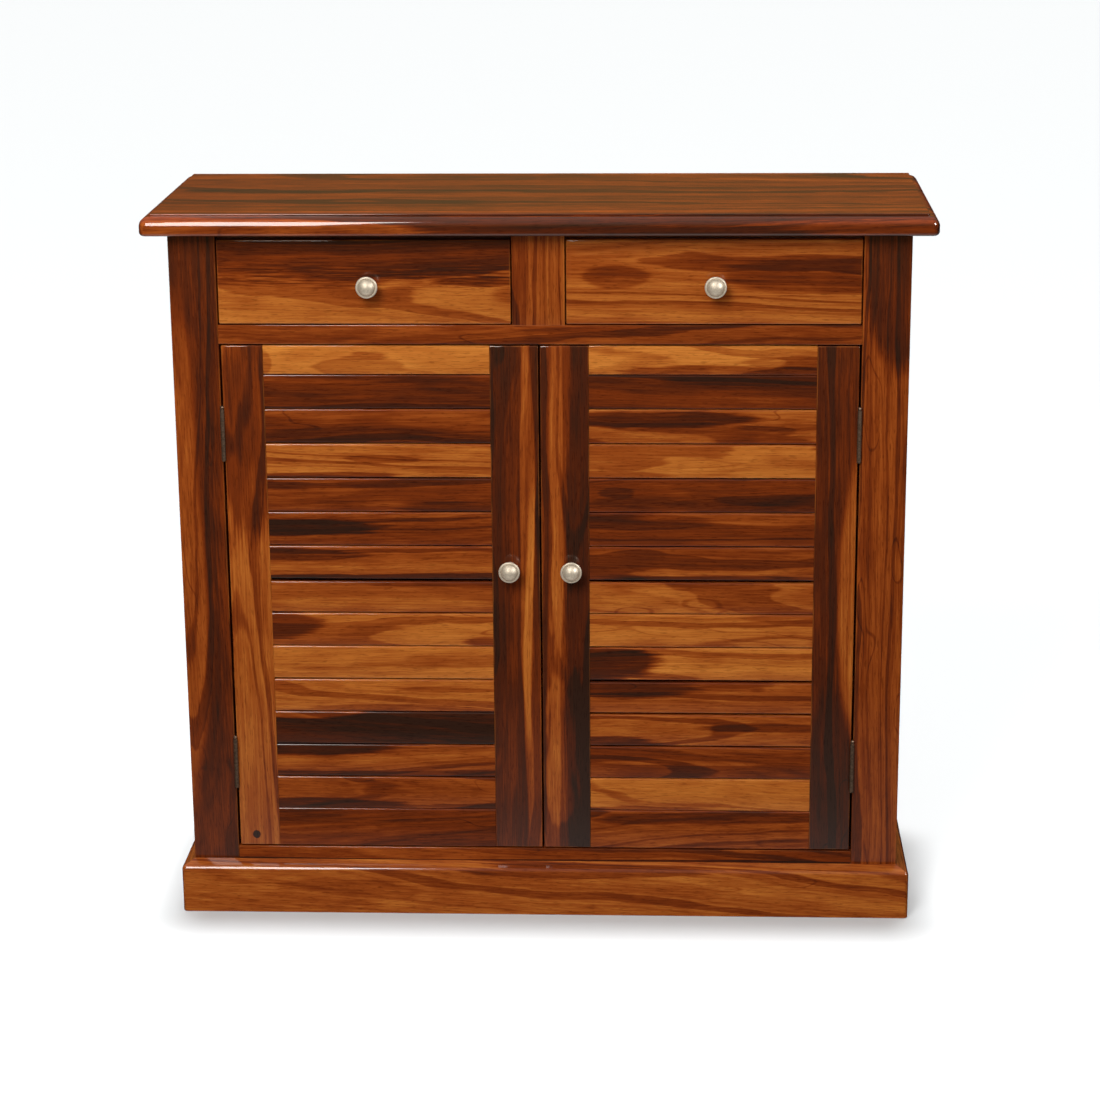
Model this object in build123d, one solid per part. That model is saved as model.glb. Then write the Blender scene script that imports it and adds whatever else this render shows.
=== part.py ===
"""Shoe cabinet in solid rosewood: two drawers over a pair of slatted doors, on a moulded plinth.

Millimetres. The origin is on the floor, at the middle of the cabinet's width and depth.
+X is to the right seen from the front, +Y to the back, +Z up.
Every board, hinge leaf, knob and screw is a solid of its own, written as parts/NODE.step.
"""

from build123d import *
import os

os.makedirs("parts", exist_ok=True)

# ---------------------------------------------------------------- driving dimensions

# Overall
overall_width = 900.0
overall_depth = 320.0
overall_height = 850.0

# Top board and its moulded edge
top_thickness = 24.0
top_overhang = 28.0
top_field_step = 2.5
top_round_radius = 11.0
top_under_round_radius = 4.5
top_corner_radius = 3.0

# Face frame
frame_thickness = 22.0
post_width = 54.0
centre_stile_width = 60.0
drawer_rail_height = 22.0
bottom_rail_show = 16.0
bottom_rail_height = 46.0
frame_tenon_length = 25.0
frame_tenon_thickness = 8.0
frame_tenon_shoulder = 3.0

# Carcass boards
side_thickness = 18.0
floor_thickness = 16.0
back_thickness = 6.0
back_rebate_width = 9.0
back_panel_lift = 40.0
housing_depth = 6.0
stretcher_thickness = 14.0
stretcher_width = 70.0
foot_rail_thickness = 18.0
divider_thickness = 18.0
shelf_thickness = 16.0
shelf_count = 2
shelf_side_clearance = 1.0
shelf_front_clearance = 2.0
shelf_back_clearance = 2.0
shelf_pin_radius = 2.5
shelf_pin_hole_depth = 10.0
shelf_pin_show = 9.0
shelf_pin_inset = 40.0

# Plinth moulding
plinth_height = 64.0
plinth_face_height = 52.0
plinth_thickness = 14.5
plinth_ledge = 2.5
plinth_corner_radius = 3.0

# Drawers
drawer_front_height = 97.0
drawer_front_thickness = 20.0
drawer_top_gap = 8.0
drawer_bottom_gap = 1.5
drawer_side_gap = 1.5
drawer_arris = 1.5
drawer_box_height = 78.0
drawer_box_length = 242.0
drawer_board_thickness = 12.0
drawer_bottom_thickness = 5.0
drawer_bottom_lift = 8.0
drawer_groove_depth = 5.0
drawer_guide_clearance = 1.5
drawer_slide_clearance = 0.5
runner_thickness = 18.0
runner_reach = 16.0
runner_guide_height = 24.0

# Doors
door_thickness = 20.0
door_hinge_gap = 2.5
door_meeting_gap = 2.0
door_top_gap = 2.0
door_bottom_gap = 2.0
hinge_stile_width = 48.0
meeting_stile_width = 56.0
door_top_rail_height = 33.0
door_bottom_rail_height = 47.5
door_arris = 1.2
door_tenon_length = 25.0
door_tenon_thickness = 6.0
door_tenon_shoulder = 6.0
slat_count = 13
slat_gap = 1.3
slat_thickness = 12.0
slat_setback = 1.0
slat_tongue_length = 8.0
slat_round_radius = 3.0
slat_arris = 0.8
glue_gap = 0.1

# Butt hinges
hinge_height = 60.0
hinge_inset = 105.0
hinge_knuckles = 5
hinge_knuckle_clearance = 0.2
hinge_barrel_radius = 2.5
hinge_barrel_stand_off = 0.2
hinge_pin_radius = 1.2
hinge_pin_clearance = 0.05
hinge_leaf_thickness = 1.0
hinge_leaf_width = 18.0
hinge_notch_clearance = 0.4
hinge_collar_height = 1.0
hinge_collar_radius = 1.9
hinge_finial_radius = 2.1
hinge_ball_lift = 1.8
hinge_screw_spread = 22.0
hinge_screw_setback = 13.0
hinge_screw_length = 16.0
hinge_screw_shank_radius = 1.5
hinge_screw_head_radius = 3.0

# Knobs
knob_projection = 26.0
knob_radius = 12.5
knob_rim_back = 16.5
knob_rim_front = 20.0
knob_dome_radius = 9.8
knob_dome_start = 20.6
knob_neck_radius = 4.5
knob_neck_end = 9.5
knob_flare_slope = 0.25
knob_foot_radius = 7.5
knob_foot_height = 1.6
door_knob_height = 431.0
door_knob_inset = 36.0
drawer_knob_drop = 3.0
drawer_knob_shift = {"left": 5.0, "right": 2.0}
knob_bolt_radius = 2.0
knob_bolt_reach = 9.0
knob_bolt_clearance = 0.25
knob_bolt_head_radius = 4.5
knob_bolt_head_height = 2.4

# Magnetic catches
catch_length = 34.0
catch_height = 18.0
catch_depth = 16.0
catch_air_gap = 0.3
catch_offset = 12.0
strike_length = 26.0
strike_height = 10.0
strike_thickness = 1.0
strike_top_margin = 1.5

# Carcass screws
case_screw_length = 25.0
case_screw_shank_radius = 1.75
case_screw_head_radius = 3.6
screw_clearance = 0.05
screw_point_length = 4.0
back_screw_rows = 5
back_screw_margin = 45.0
top_screw_places = (120.0, 320.0)

# ---------------------------------------------------------------- planes worked out from them

half_width = overall_width / 2
top_front = -overall_depth / 2
back_plane = overall_depth / 2
case_top = overall_height - top_thickness
case_half = half_width - top_overhang
case_front = top_front + top_overhang
frame_back = case_front + frame_thickness
opening_half = case_half - post_width
stile_half = centre_stile_width / 2
side_inner = case_half - side_thickness
back_inner = back_plane - back_thickness

bottom_rail_top = plinth_height + bottom_rail_show
floor_top = bottom_rail_top
drawer_front_top = case_top - drawer_top_gap
drawer_front_bottom = drawer_front_top - drawer_front_height
drawer_rail_top = drawer_front_bottom - drawer_bottom_gap
drawer_rail_bottom = drawer_rail_top - drawer_rail_height
door_top = drawer_rail_bottom - door_top_gap
door_bottom = bottom_rail_top + door_bottom_gap
door_back = case_front + door_thickness
runner_bottom = drawer_rail_top - runner_thickness

clear_height = runner_bottom - floor_top
tier_height = (clear_height - shelf_count * shelf_thickness) / (shelf_count + 1)
shelf_front = frame_back + shelf_front_clearance
shelf_back = back_inner - shelf_back_clearance
stretcher_front_middle = shelf_front + stretcher_width / 2
stretcher_rear_middle = back_inner - stretcher_width / 2
foot_rail_top = floor_top - floor_thickness

HANDS = (("left", -1), ("right", 1))


# ---------------------------------------------------------------- small tools


def span(first, second):
    """Two coordinates in rising order."""
    return min(first, second), max(first, second)


def board(x_span, y_span, z_span):
    """A square-edged board between two planes each way."""
    spans = (x_span, y_span, z_span)
    middle = [(low + high) / 2 for low, high in spans]
    size = [high - low for low, high in spans]
    return Pos(*middle) * Box(*size)


def save(name, *solids):
    """Write one node: a single solid, or a group of like ones."""
    shape = solids[0] if len(solids) == 1 else Compound(children=list(solids))
    export_step(shape, f"parts/{name}.step")


def screw(length, shank_radius, head_radius, clearance=0.0):
    """A countersunk screw, its head's flat top at the origin and its point along +Z."""
    head_height = head_radius - shank_radius
    outline = Polyline(
        (0, 0),
        (head_radius + clearance, 0),
        (shank_radius + clearance, head_height),
        (shank_radius + clearance, length - screw_point_length),
        (0, length + clearance),
        close=True,
    )
    return revolve(Plane.XZ * make_face(outline), Axis.Z)


def placed(shape, origin, direction):
    """A shape made along +Z, moved to a point and turned along a direction."""
    return Plane(origin=origin, z_dir=direction).location * shape


def drilled(solid, *tools):
    """A solid with every tool cut out of it."""
    for tool in tools:
        solid = solid - tool
    return solid


# ---------------------------------------------------------------- top board


def moulded_section(half_span, square_back):
    """Half-round edge under a raised field: a section across the top, as (across, height) points."""
    field_edge = half_span - top_round_radius
    round_top = top_thickness - top_field_step
    edge_side = [
        Line((0, 0), (half_span - top_under_round_radius, 0)),
        RadiusArc(
            (half_span - top_under_round_radius, 0),
            (half_span, top_under_round_radius),
            -top_under_round_radius,
        ),
        Line((half_span, top_under_round_radius), (half_span, round_top - top_round_radius)),
        RadiusArc(
            (half_span, round_top - top_round_radius),
            (field_edge, round_top),
            -top_round_radius,
        ),
        Line((field_edge, round_top), (field_edge, top_thickness)),
        Line((field_edge, top_thickness), (0, top_thickness)),
    ]
    if square_back:
        other_side = [Polyline((0, top_thickness), (-half_span, top_thickness), (-half_span, 0), (0, 0))]
    else:
        other_side = [mirror(edge, Plane.YZ) for edge in edge_side]
    return make_face(edge_side + other_side)


def top_board():
    """The top: its moulding runs along the front and both sides and stops square at the back."""
    across = extrude(Plane.XZ * moulded_section(half_width, False), overall_depth / 2, both=True)
    # The section's moulded side is turned to the front.
    turned = Plane(origin=(0, 0, 0), x_dir=(0, -1, 0), z_dir=(-1, 0, 0))
    along = extrude(turned * moulded_section(overall_depth / 2, True), half_width, both=True)
    plan = Rectangle(overall_width, overall_depth)
    front_corners = plan.vertices().group_by(Axis.Y)[0]
    plan = fillet(front_corners, top_corner_radius)
    body = across & along & extrude(plan, top_thickness)
    return Pos(0, 0, case_top) * body


# ---------------------------------------------------------------- screws that hold the carcass


def case_screw_places():
    """Head centre and direction of every carcass screw."""
    places = []
    head_plane = case_top - stretcher_thickness
    for x_place in top_screw_places:
        for hand in (-1, 1):
            for y_place in (stretcher_front_middle, stretcher_rear_middle):
                places.append(((hand * x_place, y_place, head_plane), (0, 0, 1)))
    rise = (case_top - back_panel_lift - 2 * back_screw_margin) / (back_screw_rows - 1)
    for row in range(back_screw_rows):
        height = back_panel_lift + back_screw_margin + row * rise
        for hand in (-1, 1):
            side_middle = side_inner + back_rebate_width / 2
            places.append(((hand * side_middle, back_plane, height), (0, -1, 0)))
    for x_place in top_screw_places:
        for hand in (-1, 1):
            for height in (case_top - stretcher_thickness / 2, (back_panel_lift + foot_rail_top) / 2):
                places.append(((hand * x_place, back_plane, height), (0, -1, 0)))
    return places


def case_screws(clearance=0.0):
    """Every carcass screw, or with a clearance the holes they stand in."""
    one = screw(case_screw_length, case_screw_shank_radius, case_screw_head_radius, clearance)
    return [placed(one, origin, direction) for origin, direction in case_screw_places()]


def save_carcass():
    holes = case_screws(screw_clearance)
    save("case_screws", *case_screws())
    save("top_panel", drilled(top_board(), *holes))

    stretcher_z = (case_top - stretcher_thickness, case_top)
    for name, middle in (("front", stretcher_front_middle), ("rear", stretcher_rear_middle)):
        stretcher = board(
            (-side_inner, side_inner),
            (middle - stretcher_width / 2, middle + stretcher_width / 2),
            stretcher_z,
        )
        save(f"{name}_stretcher", drilled(stretcher, *holes))

    floor = board(
        (-side_inner - housing_depth, side_inner + housing_depth),
        (frame_back, back_inner),
        (foot_rail_top, floor_top),
    )
    save("floor_panel", floor)

    foot_rail = board(
        (-side_inner, side_inner),
        (back_inner - foot_rail_thickness, back_inner),
        (0, foot_rail_top),
    )
    save("rear_foot_rail", drilled(foot_rail, *holes))

    back_half = side_inner + back_rebate_width
    back = board((-back_half, back_half), (back_inner, back_plane), (back_panel_lift, case_top))
    save("back_panel", drilled(back, *holes))

    divider = board(
        (-divider_thickness / 2, divider_thickness / 2),
        (frame_back, back_inner),
        (runner_bottom, case_top),
    )
    for middle in (stretcher_front_middle, stretcher_rear_middle):
        divider -= board(
            (-divider_thickness, divider_thickness),
            (middle - stretcher_width / 2, middle + stretcher_width / 2),
            stretcher_z,
        )
    save("drawer_divider", divider)

    for side, hand in HANDS:
        panel = board(
            span(hand * side_inner, hand * case_half),
            (frame_back, back_plane),
            (0, case_top),
        )
        rebate = board(
            span(hand * side_inner, hand * back_half),
            (back_inner, back_plane),
            (back_panel_lift, case_top),
        )
        save(f"{side}_side_panel", drilled(panel, rebate, floor, *shelf_pins(glue_gap / 2), *holes))


# ---------------------------------------------------------------- face frame


def tenon(x_span, z_span):
    """A frame tenon or, with wider spans, the mortise it is glued into."""
    middle = case_front + frame_thickness / 2
    half = frame_tenon_thickness / 2
    return board(x_span, (middle - half, middle + half), z_span)


def save_face_frame():
    rails = {
        "drawer_rail": (drawer_rail_bottom, drawer_rail_top),
        "bottom_rail": (bottom_rail_top - bottom_rail_height, bottom_rail_top),
    }
    frame_y = (case_front, frame_back)
    mortises = []
    tenon_half = opening_half + frame_tenon_length
    for name, (low, high) in rails.items():
        tenon_z = (low + frame_tenon_shoulder, high - frame_tenon_shoulder)
        rail = board((-opening_half, opening_half), frame_y, (low, high))
        rail += tenon((-tenon_half, tenon_half), tenon_z)
        mortises.append(tenon((-tenon_half - glue_gap, tenon_half + glue_gap), tenon_z))
        save(name, rail)

    save("centre_stile", board((-stile_half, stile_half), frame_y, (drawer_rail_top, case_top)))

    for side, hand in HANDS:
        post = board(span(hand * opening_half, hand * case_half), frame_y, (0, case_top))
        save(f"{side}_front_post", drilled(post, *mortises, *hinge_screws(hand, hand, screw_clearance)))


# ---------------------------------------------------------------- plinth


def plinth_section():
    """The moulding's section as (out from the case, height): a flat face, a ledge and a quarter round."""
    round_foot = plinth_thickness - plinth_ledge
    return make_face(
        [
            Polyline((0, 0), (plinth_thickness, 0), (plinth_thickness, plinth_face_height)),
            Line((plinth_thickness, plinth_face_height), (round_foot, plinth_face_height)),
            RadiusArc((round_foot, plinth_face_height), (0, plinth_height), -round_foot),
            Line((0, plinth_height), (0, 0)),
        ]
    )


def save_plinth():
    """Front and side mouldings, mitred at the front corners and cut off flush at the back."""
    plinth_half = case_half + plinth_thickness
    plinth_front = case_front - plinth_thickness
    front_plane = Plane(origin=(0, case_front, 0), x_dir=(0, -1, 0), z_dir=(-1, 0, 0))
    front_run = extrude(front_plane * plinth_section(), plinth_half, both=True)

    rounded = fillet(
        Rectangle(2 * plinth_half, 2 * plinth_half).vertices().group_by(Axis.Y)[0],
        plinth_corner_radius,
    )
    plan = Pos(0, plinth_front + plinth_half, 0) * extrude(rounded, plinth_height)

    mitres = {}
    for side, hand in HANDS:
        corner = (hand * case_half, case_front)
        outside = (hand * plinth_half, plinth_front)
        far = (0, case_front + case_half)
        plan_of_side = Polyline(corner, outside, (hand * plinth_half, far[1]), far, close=True)
        mitres[side] = extrude(make_face(plan_of_side), plinth_height)

    save("plinth_front", (front_run & plan) - mitres["left"] - mitres["right"])

    for side, hand in HANDS:
        side_plane = Plane(origin=(hand * case_half, 0, 0), x_dir=(hand, 0, 0), z_dir=(0, -hand, 0))
        run = extrude(side_plane * plinth_section(), overall_depth, both=True)
        length = board(
            span(hand * case_half, hand * plinth_half),
            (plinth_front, back_plane),
            (0, plinth_height),
        )
        save(f"plinth_{side}", run & length & plan & mitres[side])


# ---------------------------------------------------------------- shelves


def shelf_levels():
    """Underside of each adjustable shelf, from the lowest up."""
    return [floor_top + tier_height + n * (tier_height + shelf_thickness) for n in range(shelf_count)]


def shelf_pins(clearance=0.0):
    """Pins under every shelf, or with a clearance the holes they are pushed into."""
    pins = []
    reach = shelf_pin_hole_depth + shelf_pin_show
    for level in shelf_levels():
        for hand in (-1, 1):
            for y_place in (shelf_front + shelf_pin_inset, shelf_back - shelf_pin_inset):
                start = hand * (side_inner + shelf_pin_hole_depth + clearance)
                pin = Cylinder(
                    shelf_pin_radius + clearance,
                    reach + clearance,
                    align=(Align.CENTER, Align.CENTER, Align.MIN),
                )
                pins.append(placed(pin, (start, y_place, level - shelf_pin_radius), (-hand, 0, 0)))
    return pins


def save_shelves():
    half = side_inner - shelf_side_clearance
    for name, level in zip(("lower", "upper"), shelf_levels()):
        save(f"{name}_shelf", board((-half, half), (shelf_front, shelf_back), (level, level + shelf_thickness)))
    save("shelf_pins", *shelf_pins())


# ---------------------------------------------------------------- drawer runners


def save_runners():
    """Wooden runners: a shelf that carries the drawer side and a guide that steers it."""
    y_span = (frame_back, back_inner)
    base_z = (runner_bottom, drawer_rail_top)
    guide_z = (drawer_rail_top, drawer_rail_top + runner_guide_height)
    outer = []
    centre = []
    for side, hand in HANDS:
        guide_face = opening_half - drawer_side_gap
        outer.append(
            board(span(hand * side_inner, hand * (guide_face - runner_reach)), y_span, base_z)
            + board(span(hand * side_inner, hand * guide_face), y_span, guide_z)
        )
        wall = divider_thickness / 2
        inner_face = stile_half + drawer_side_gap
        centre.append(
            board(span(hand * wall, hand * (inner_face + runner_reach)), y_span, base_z)
            + board(span(hand * wall, hand * inner_face), y_span, guide_z)
        )
    save("outer_drawer_runners", *outer)
    save("centre_drawer_runners", *centre)


# ---------------------------------------------------------------- knobs and their bolts


def knob_section():
    """Half section as (radius, distance out): foot, waisted neck, stepped rim and shallow dome."""
    dome_height = knob_projection - knob_dome_start
    dome_sphere = (knob_dome_radius**2 + dome_height**2) / (2 * dome_height)
    return make_face(
        [
            Polyline((0, 0), (knob_foot_radius, 0), (knob_foot_radius, knob_foot_height)),
            Spline(
                (knob_foot_radius, knob_foot_height),
                (knob_neck_radius, (knob_foot_height + knob_neck_end) / 2),
                (knob_radius, knob_rim_back),
                tangents=((-1, 0), (1, knob_flare_slope)),
            ),
            Polyline(
                (knob_radius, knob_rim_back),
                (knob_radius, knob_rim_front),
                (knob_dome_radius, knob_rim_front),
                (knob_dome_radius, knob_dome_start),
            ),
            RadiusArc((knob_dome_radius, knob_dome_start), (0, knob_projection), -dome_sphere),
            Line((0, knob_projection), (0, 0)),
        ]
    )


def knob_at(x_place, z_place):
    """A turned knob on the front plane, bored for its bolt."""
    body = revolve(Plane.XZ * knob_section(), Axis.Z)
    bore = Cylinder(
        knob_bolt_radius,
        knob_bolt_reach,
        align=(Align.CENTER, Align.CENTER, Align.MIN),
    )
    return placed(body - bore, (x_place, case_front, z_place), (0, -1, 0))


def knob_bolt(x_place, z_place, board_thickness, clearance=0.0):
    """A pan-head bolt from the back of a board into the knob, or with a clearance its hole."""
    align = (Align.CENTER, Align.CENTER, Align.MIN)
    shank = Cylinder(knob_bolt_radius + clearance, board_thickness + knob_bolt_reach, align=align)
    head = Pos(0, 0, -knob_bolt_head_height) * Cylinder(
        knob_bolt_head_radius,
        knob_bolt_head_height,
        align=align,
    )
    return placed(shank + head, (x_place, case_front + board_thickness, z_place), (0, -1, 0))


# ---------------------------------------------------------------- drawers


def save_drawer(side, hand):
    inner = stile_half + drawer_side_gap
    outer = opening_half - drawer_side_gap
    middle = hand * (inner + outer) / 2
    front_back = case_front + drawer_front_thickness
    box_back = front_back + drawer_box_length
    box_bottom = drawer_rail_top + drawer_slide_clearance
    box_top = box_bottom + drawer_box_height
    knob_x = middle + drawer_knob_shift[side]
    knob_height = (drawer_front_bottom + drawer_front_top) / 2 - drawer_knob_drop
    bolt_hole = knob_bolt(knob_x, knob_height, drawer_front_thickness, knob_bolt_clearance)

    side_inner_face = inner + drawer_guide_clearance + drawer_board_thickness
    side_outer_face = outer - drawer_guide_clearance - drawer_board_thickness
    bottom_x = span(
        hand * (side_inner_face - drawer_groove_depth),
        hand * (side_outer_face + drawer_groove_depth),
    )
    bottom_z = (box_bottom + drawer_bottom_lift, box_bottom + drawer_bottom_lift + drawer_bottom_thickness)
    bottom = board(bottom_x, (front_back - drawer_groove_depth, box_back), bottom_z)

    front = board(span(hand * inner, hand * outer), (case_front, front_back), (drawer_front_bottom, drawer_front_top))
    front = fillet(front.faces().sort_by(Axis.Y)[0].edges(), drawer_arris)
    save(f"{side}_drawer_front", drilled(front, bottom, bolt_hole))

    sides = []
    for first, second in (
        (inner + drawer_guide_clearance, side_inner_face),
        (side_outer_face, outer - drawer_guide_clearance),
    ):
        plank = board(span(hand * first, hand * second), (front_back, box_back), (box_bottom, box_top))
        sides.append(plank - bottom)
    save(f"{side}_drawer_sides", *sides)

    back = board(
        span(hand * side_inner_face, hand * side_outer_face),
        (box_back - drawer_board_thickness, box_back),
        (bottom_z[1], box_top),
    )
    save(f"{side}_drawer_back", back)
    save(f"{side}_drawer_bottom", bottom)
    save(f"{side}_drawer_knob", knob_at(knob_x, knob_height))
    save(f"{side}_drawer_knob_bolt", knob_bolt(knob_x, knob_height, drawer_front_thickness))


# ---------------------------------------------------------------- hinges

hinge_axis_x = opening_half - door_hinge_gap / 2
hinge_axis_y = case_front - hinge_barrel_radius - hinge_barrel_stand_off
hinge_heights = (door_bottom + hinge_inset, door_top - hinge_inset)
knuckle_pitch = hinge_height / hinge_knuckles


def hinge_leaf(hand, towards, height, first_knuckle):
    """One leaf with its knuckles.

    hand is the side of the cabinet, towards is the way the leaf lies from the axis: the same
    sign as hand for the leaf on the post, the other for the leaf on the door.
    """
    bottom = height - hinge_height / 2
    plate_face = door_hinge_gap / 2
    x_span = span(
        hand * hinge_axis_x + towards * (plate_face - hinge_leaf_thickness),
        hand * hinge_axis_x + towards * plate_face,
    )
    leaf = board(
        x_span,
        (hinge_axis_y, case_front + hinge_leaf_width),
        (bottom, bottom + hinge_height),
    )
    barrel = Pos(hand * hinge_axis_x, hinge_axis_y, height) * Cylinder(hinge_barrel_radius, hinge_height)
    leaf += barrel
    notch_reach = hinge_barrel_radius + hinge_notch_clearance
    for knuckle in range(hinge_knuckles):
        if knuckle % 2 == first_knuckle:
            continue
        low = bottom + knuckle * knuckle_pitch - hinge_knuckle_clearance / 2
        high = low + knuckle_pitch + hinge_knuckle_clearance
        leaf -= board(
            (hand * hinge_axis_x - notch_reach, hand * hinge_axis_x + notch_reach),
            (hinge_axis_y - notch_reach, hinge_axis_y + notch_reach),
            (low, high),
        )
    bore = Cylinder(hinge_pin_radius + hinge_pin_clearance, 2 * hinge_height)
    leaf -= Pos(hand * hinge_axis_x, hinge_axis_y, height) * bore
    return drilled(leaf, *hinge_screws(hand, towards, screw_clearance))


def hinge_screws(hand, towards, clearance=0.0):
    """The screws through both hinges' leaves on one side, or with a clearance their holes."""
    one = screw(
        hinge_screw_length,
        hinge_screw_shank_radius,
        hinge_screw_head_radius,
        clearance,
    )
    head_x = hand * hinge_axis_x + towards * (door_hinge_gap / 2 - hinge_leaf_thickness)
    y_place = case_front + hinge_screw_setback
    screws = []
    for height in hinge_heights:
        for step in (-1, 0, 1):
            origin = (head_x, y_place, height + step * hinge_screw_spread)
            screws.append(placed(one, origin, (towards, 0, 0)))
    return screws


def hinge_pin(hand, height):
    """A loose pin with a ball finial on top and a flat button below."""
    pin = Cylinder(hinge_pin_radius, hinge_height)
    for way in (-1, 1):
        collar_middle = way * (hinge_height + hinge_collar_height) / 2
        pin += Pos(0, 0, collar_middle) * Cylinder(hinge_collar_radius, hinge_collar_height)
    ball_middle = hinge_height / 2 + hinge_collar_height + hinge_ball_lift
    pin += Pos(0, 0, ball_middle) * Sphere(hinge_finial_radius)
    return Pos(hand * hinge_axis_x, hinge_axis_y, height) * pin


def save_hinges():
    leaves = []
    pins = []
    screws = []
    for side, hand in HANDS:
        for height in hinge_heights:
            leaves.append(hinge_leaf(hand, hand, height, 0))
            pins.append(hinge_pin(hand, height))
        screws += hinge_screws(hand, hand)
        door_leaves = [hinge_leaf(hand, -hand, height, 1) for height in hinge_heights]
        save(f"{side}_door_hinge_leaves", *door_leaves)
        save(f"{side}_door_hinge_screws", *hinge_screws(hand, -hand))
    save("frame_hinge_leaves", *leaves)
    save("hinge_pins", *pins)
    save("frame_hinge_screws", *screws)


# ---------------------------------------------------------------- doors


def slat_section(low, high):
    """A slat's section as (depth, height): eased below, well rounded at its upper front edge."""
    front = case_front + slat_setback
    back = front + slat_thickness
    return make_face(
        [
            Polyline((front + slat_arris, low), (back, low), (back, high), (front + slat_round_radius, high)),
            RadiusArc(
                (front + slat_round_radius, high),
                (front, high - slat_round_radius),
                -slat_round_radius,
            ),
            Line((front, high - slat_round_radius), (front, low + slat_arris)),
            RadiusArc((front, low + slat_arris), (front + slat_arris, low), -slat_arris),
        ]
    )


def save_door(side, hand):
    edge = opening_half - door_hinge_gap
    meeting = door_meeting_gap / 2
    rail_outer = edge - hinge_stile_width
    rail_inner = meeting + meeting_stile_width
    door_y = (case_front, door_back)
    top_rail_low = door_top - door_top_rail_height
    bottom_rail_high = door_bottom + door_bottom_rail_height
    tongue_middle = case_front + slat_setback + slat_thickness / 2
    tongue_y = (tongue_middle - door_tenon_thickness / 2, tongue_middle + door_tenon_thickness / 2)

    knob_x = hand * door_knob_inset
    bolt_hole = knob_bolt(knob_x, door_knob_height, door_thickness, knob_bolt_clearance)

    rails = {"top_rail": (top_rail_low, door_top), "bottom_rail": (door_bottom, bottom_rail_high)}
    sockets = []
    tenon_x = span(hand * (rail_inner - door_tenon_length), hand * (rail_outer + door_tenon_length))
    for name, (low, high) in rails.items():
        tenon_z = (low + door_tenon_shoulder, high - door_tenon_shoulder)
        tenons = board(tenon_x, tongue_y, tenon_z)
        rail = board(span(hand * rail_inner, hand * rail_outer), door_y, (low, high))
        if name == "bottom_rail":
            upper_front = rail.edges().filter_by(Axis.X).sort_by(Axis.Z)[-2:].sort_by(Axis.Y)[0]
            rail = fillet(upper_front, slat_round_radius)
        save(f"{side}_door_{name}", rail + tenons)
        socket_x = (tenon_x[0] - glue_gap, tenon_x[1] + glue_gap)
        sockets.append(board(socket_x, tongue_y, tenon_z))
    groove_x = span(
        hand * (rail_inner - slat_tongue_length - glue_gap),
        hand * (rail_outer + slat_tongue_length + glue_gap),
    )
    sockets.append(board(groove_x, tongue_y, (bottom_rail_high, top_rail_low)))

    hinge_stile = board(span(hand * rail_outer, hand * edge), door_y, (door_bottom, door_top))
    meeting_stile = board(span(hand * meeting, hand * rail_inner), door_y, (door_bottom, door_top))
    stile_holes = hinge_screws(hand, -hand, screw_clearance)
    for name, stile, cuts in (
        ("hinge_stile", hinge_stile, stile_holes),
        ("meeting_stile", meeting_stile, [bolt_hole]),
    ):
        stile = fillet(stile.faces().sort_by(Axis.Y)[0].edges(), door_arris)
        save(f"{side}_door_{name}", drilled(stile, *sockets, *cuts))

    pitch = (top_rail_low - bottom_rail_high) / slat_count
    slats = []
    for number in range(slat_count):
        low = bottom_rail_high + number * pitch + slat_gap / 2
        high = low + pitch - slat_gap
        section = Plane.YZ * slat_section(low, high)
        show = extrude(section, (rail_outer - rail_inner) / 2, both=True)
        show = Pos(hand * (rail_outer + rail_inner) / 2, 0, 0) * show
        tongue_x = span(hand * (rail_inner - slat_tongue_length), hand * (rail_outer + slat_tongue_length))
        tongue_z = (low + slat_round_radius, high - slat_round_radius)
        slats.append(show + board(tongue_x, tongue_y, tongue_z))
    save(f"{side}_door_slats", *slats)

    save(f"{side}_door_knob", knob_at(knob_x, door_knob_height))
    save(f"{side}_door_knob_bolt", knob_bolt(knob_x, door_knob_height, door_thickness))

    strike_middle = door_top - strike_top_margin - strike_height / 2
    strike_x = catch_offset + catch_length / 2
    save(
        f"{side}_door_strike_plate",
        board(
            span(hand * (strike_x - strike_length / 2), hand * (strike_x + strike_length / 2)),
            (door_back, door_back + strike_thickness),
            (strike_middle - strike_height / 2, strike_middle + strike_height / 2),
        ),
    )


def save_catches():
    """Magnetic catches hung under the centre runners, just behind the strike plates."""
    front = max(door_back + strike_thickness + catch_air_gap, frame_back + glue_gap)
    catches = []
    for side, hand in HANDS:
        catches.append(
            board(
                span(hand * catch_offset, hand * (catch_offset + catch_length)),
                (front, front + catch_depth),
                (runner_bottom - catch_height, runner_bottom),
            )
        )
    save("magnetic_catches", *catches)


# ---------------------------------------------------------------- write every node

save_carcass()
save_face_frame()
save_plinth()
save_shelves()
save_runners()
save_hinges()
save_catches()
for side_name, side_hand in HANDS:
    save_drawer(side_name, side_hand)
    save_door(side_name, side_hand)
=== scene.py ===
import math
import random

import bmesh
import bpy
from bpy.props import FloatProperty, FloatVectorProperty, IntProperty, PointerProperty
from mathutils import Matrix, Vector


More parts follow.
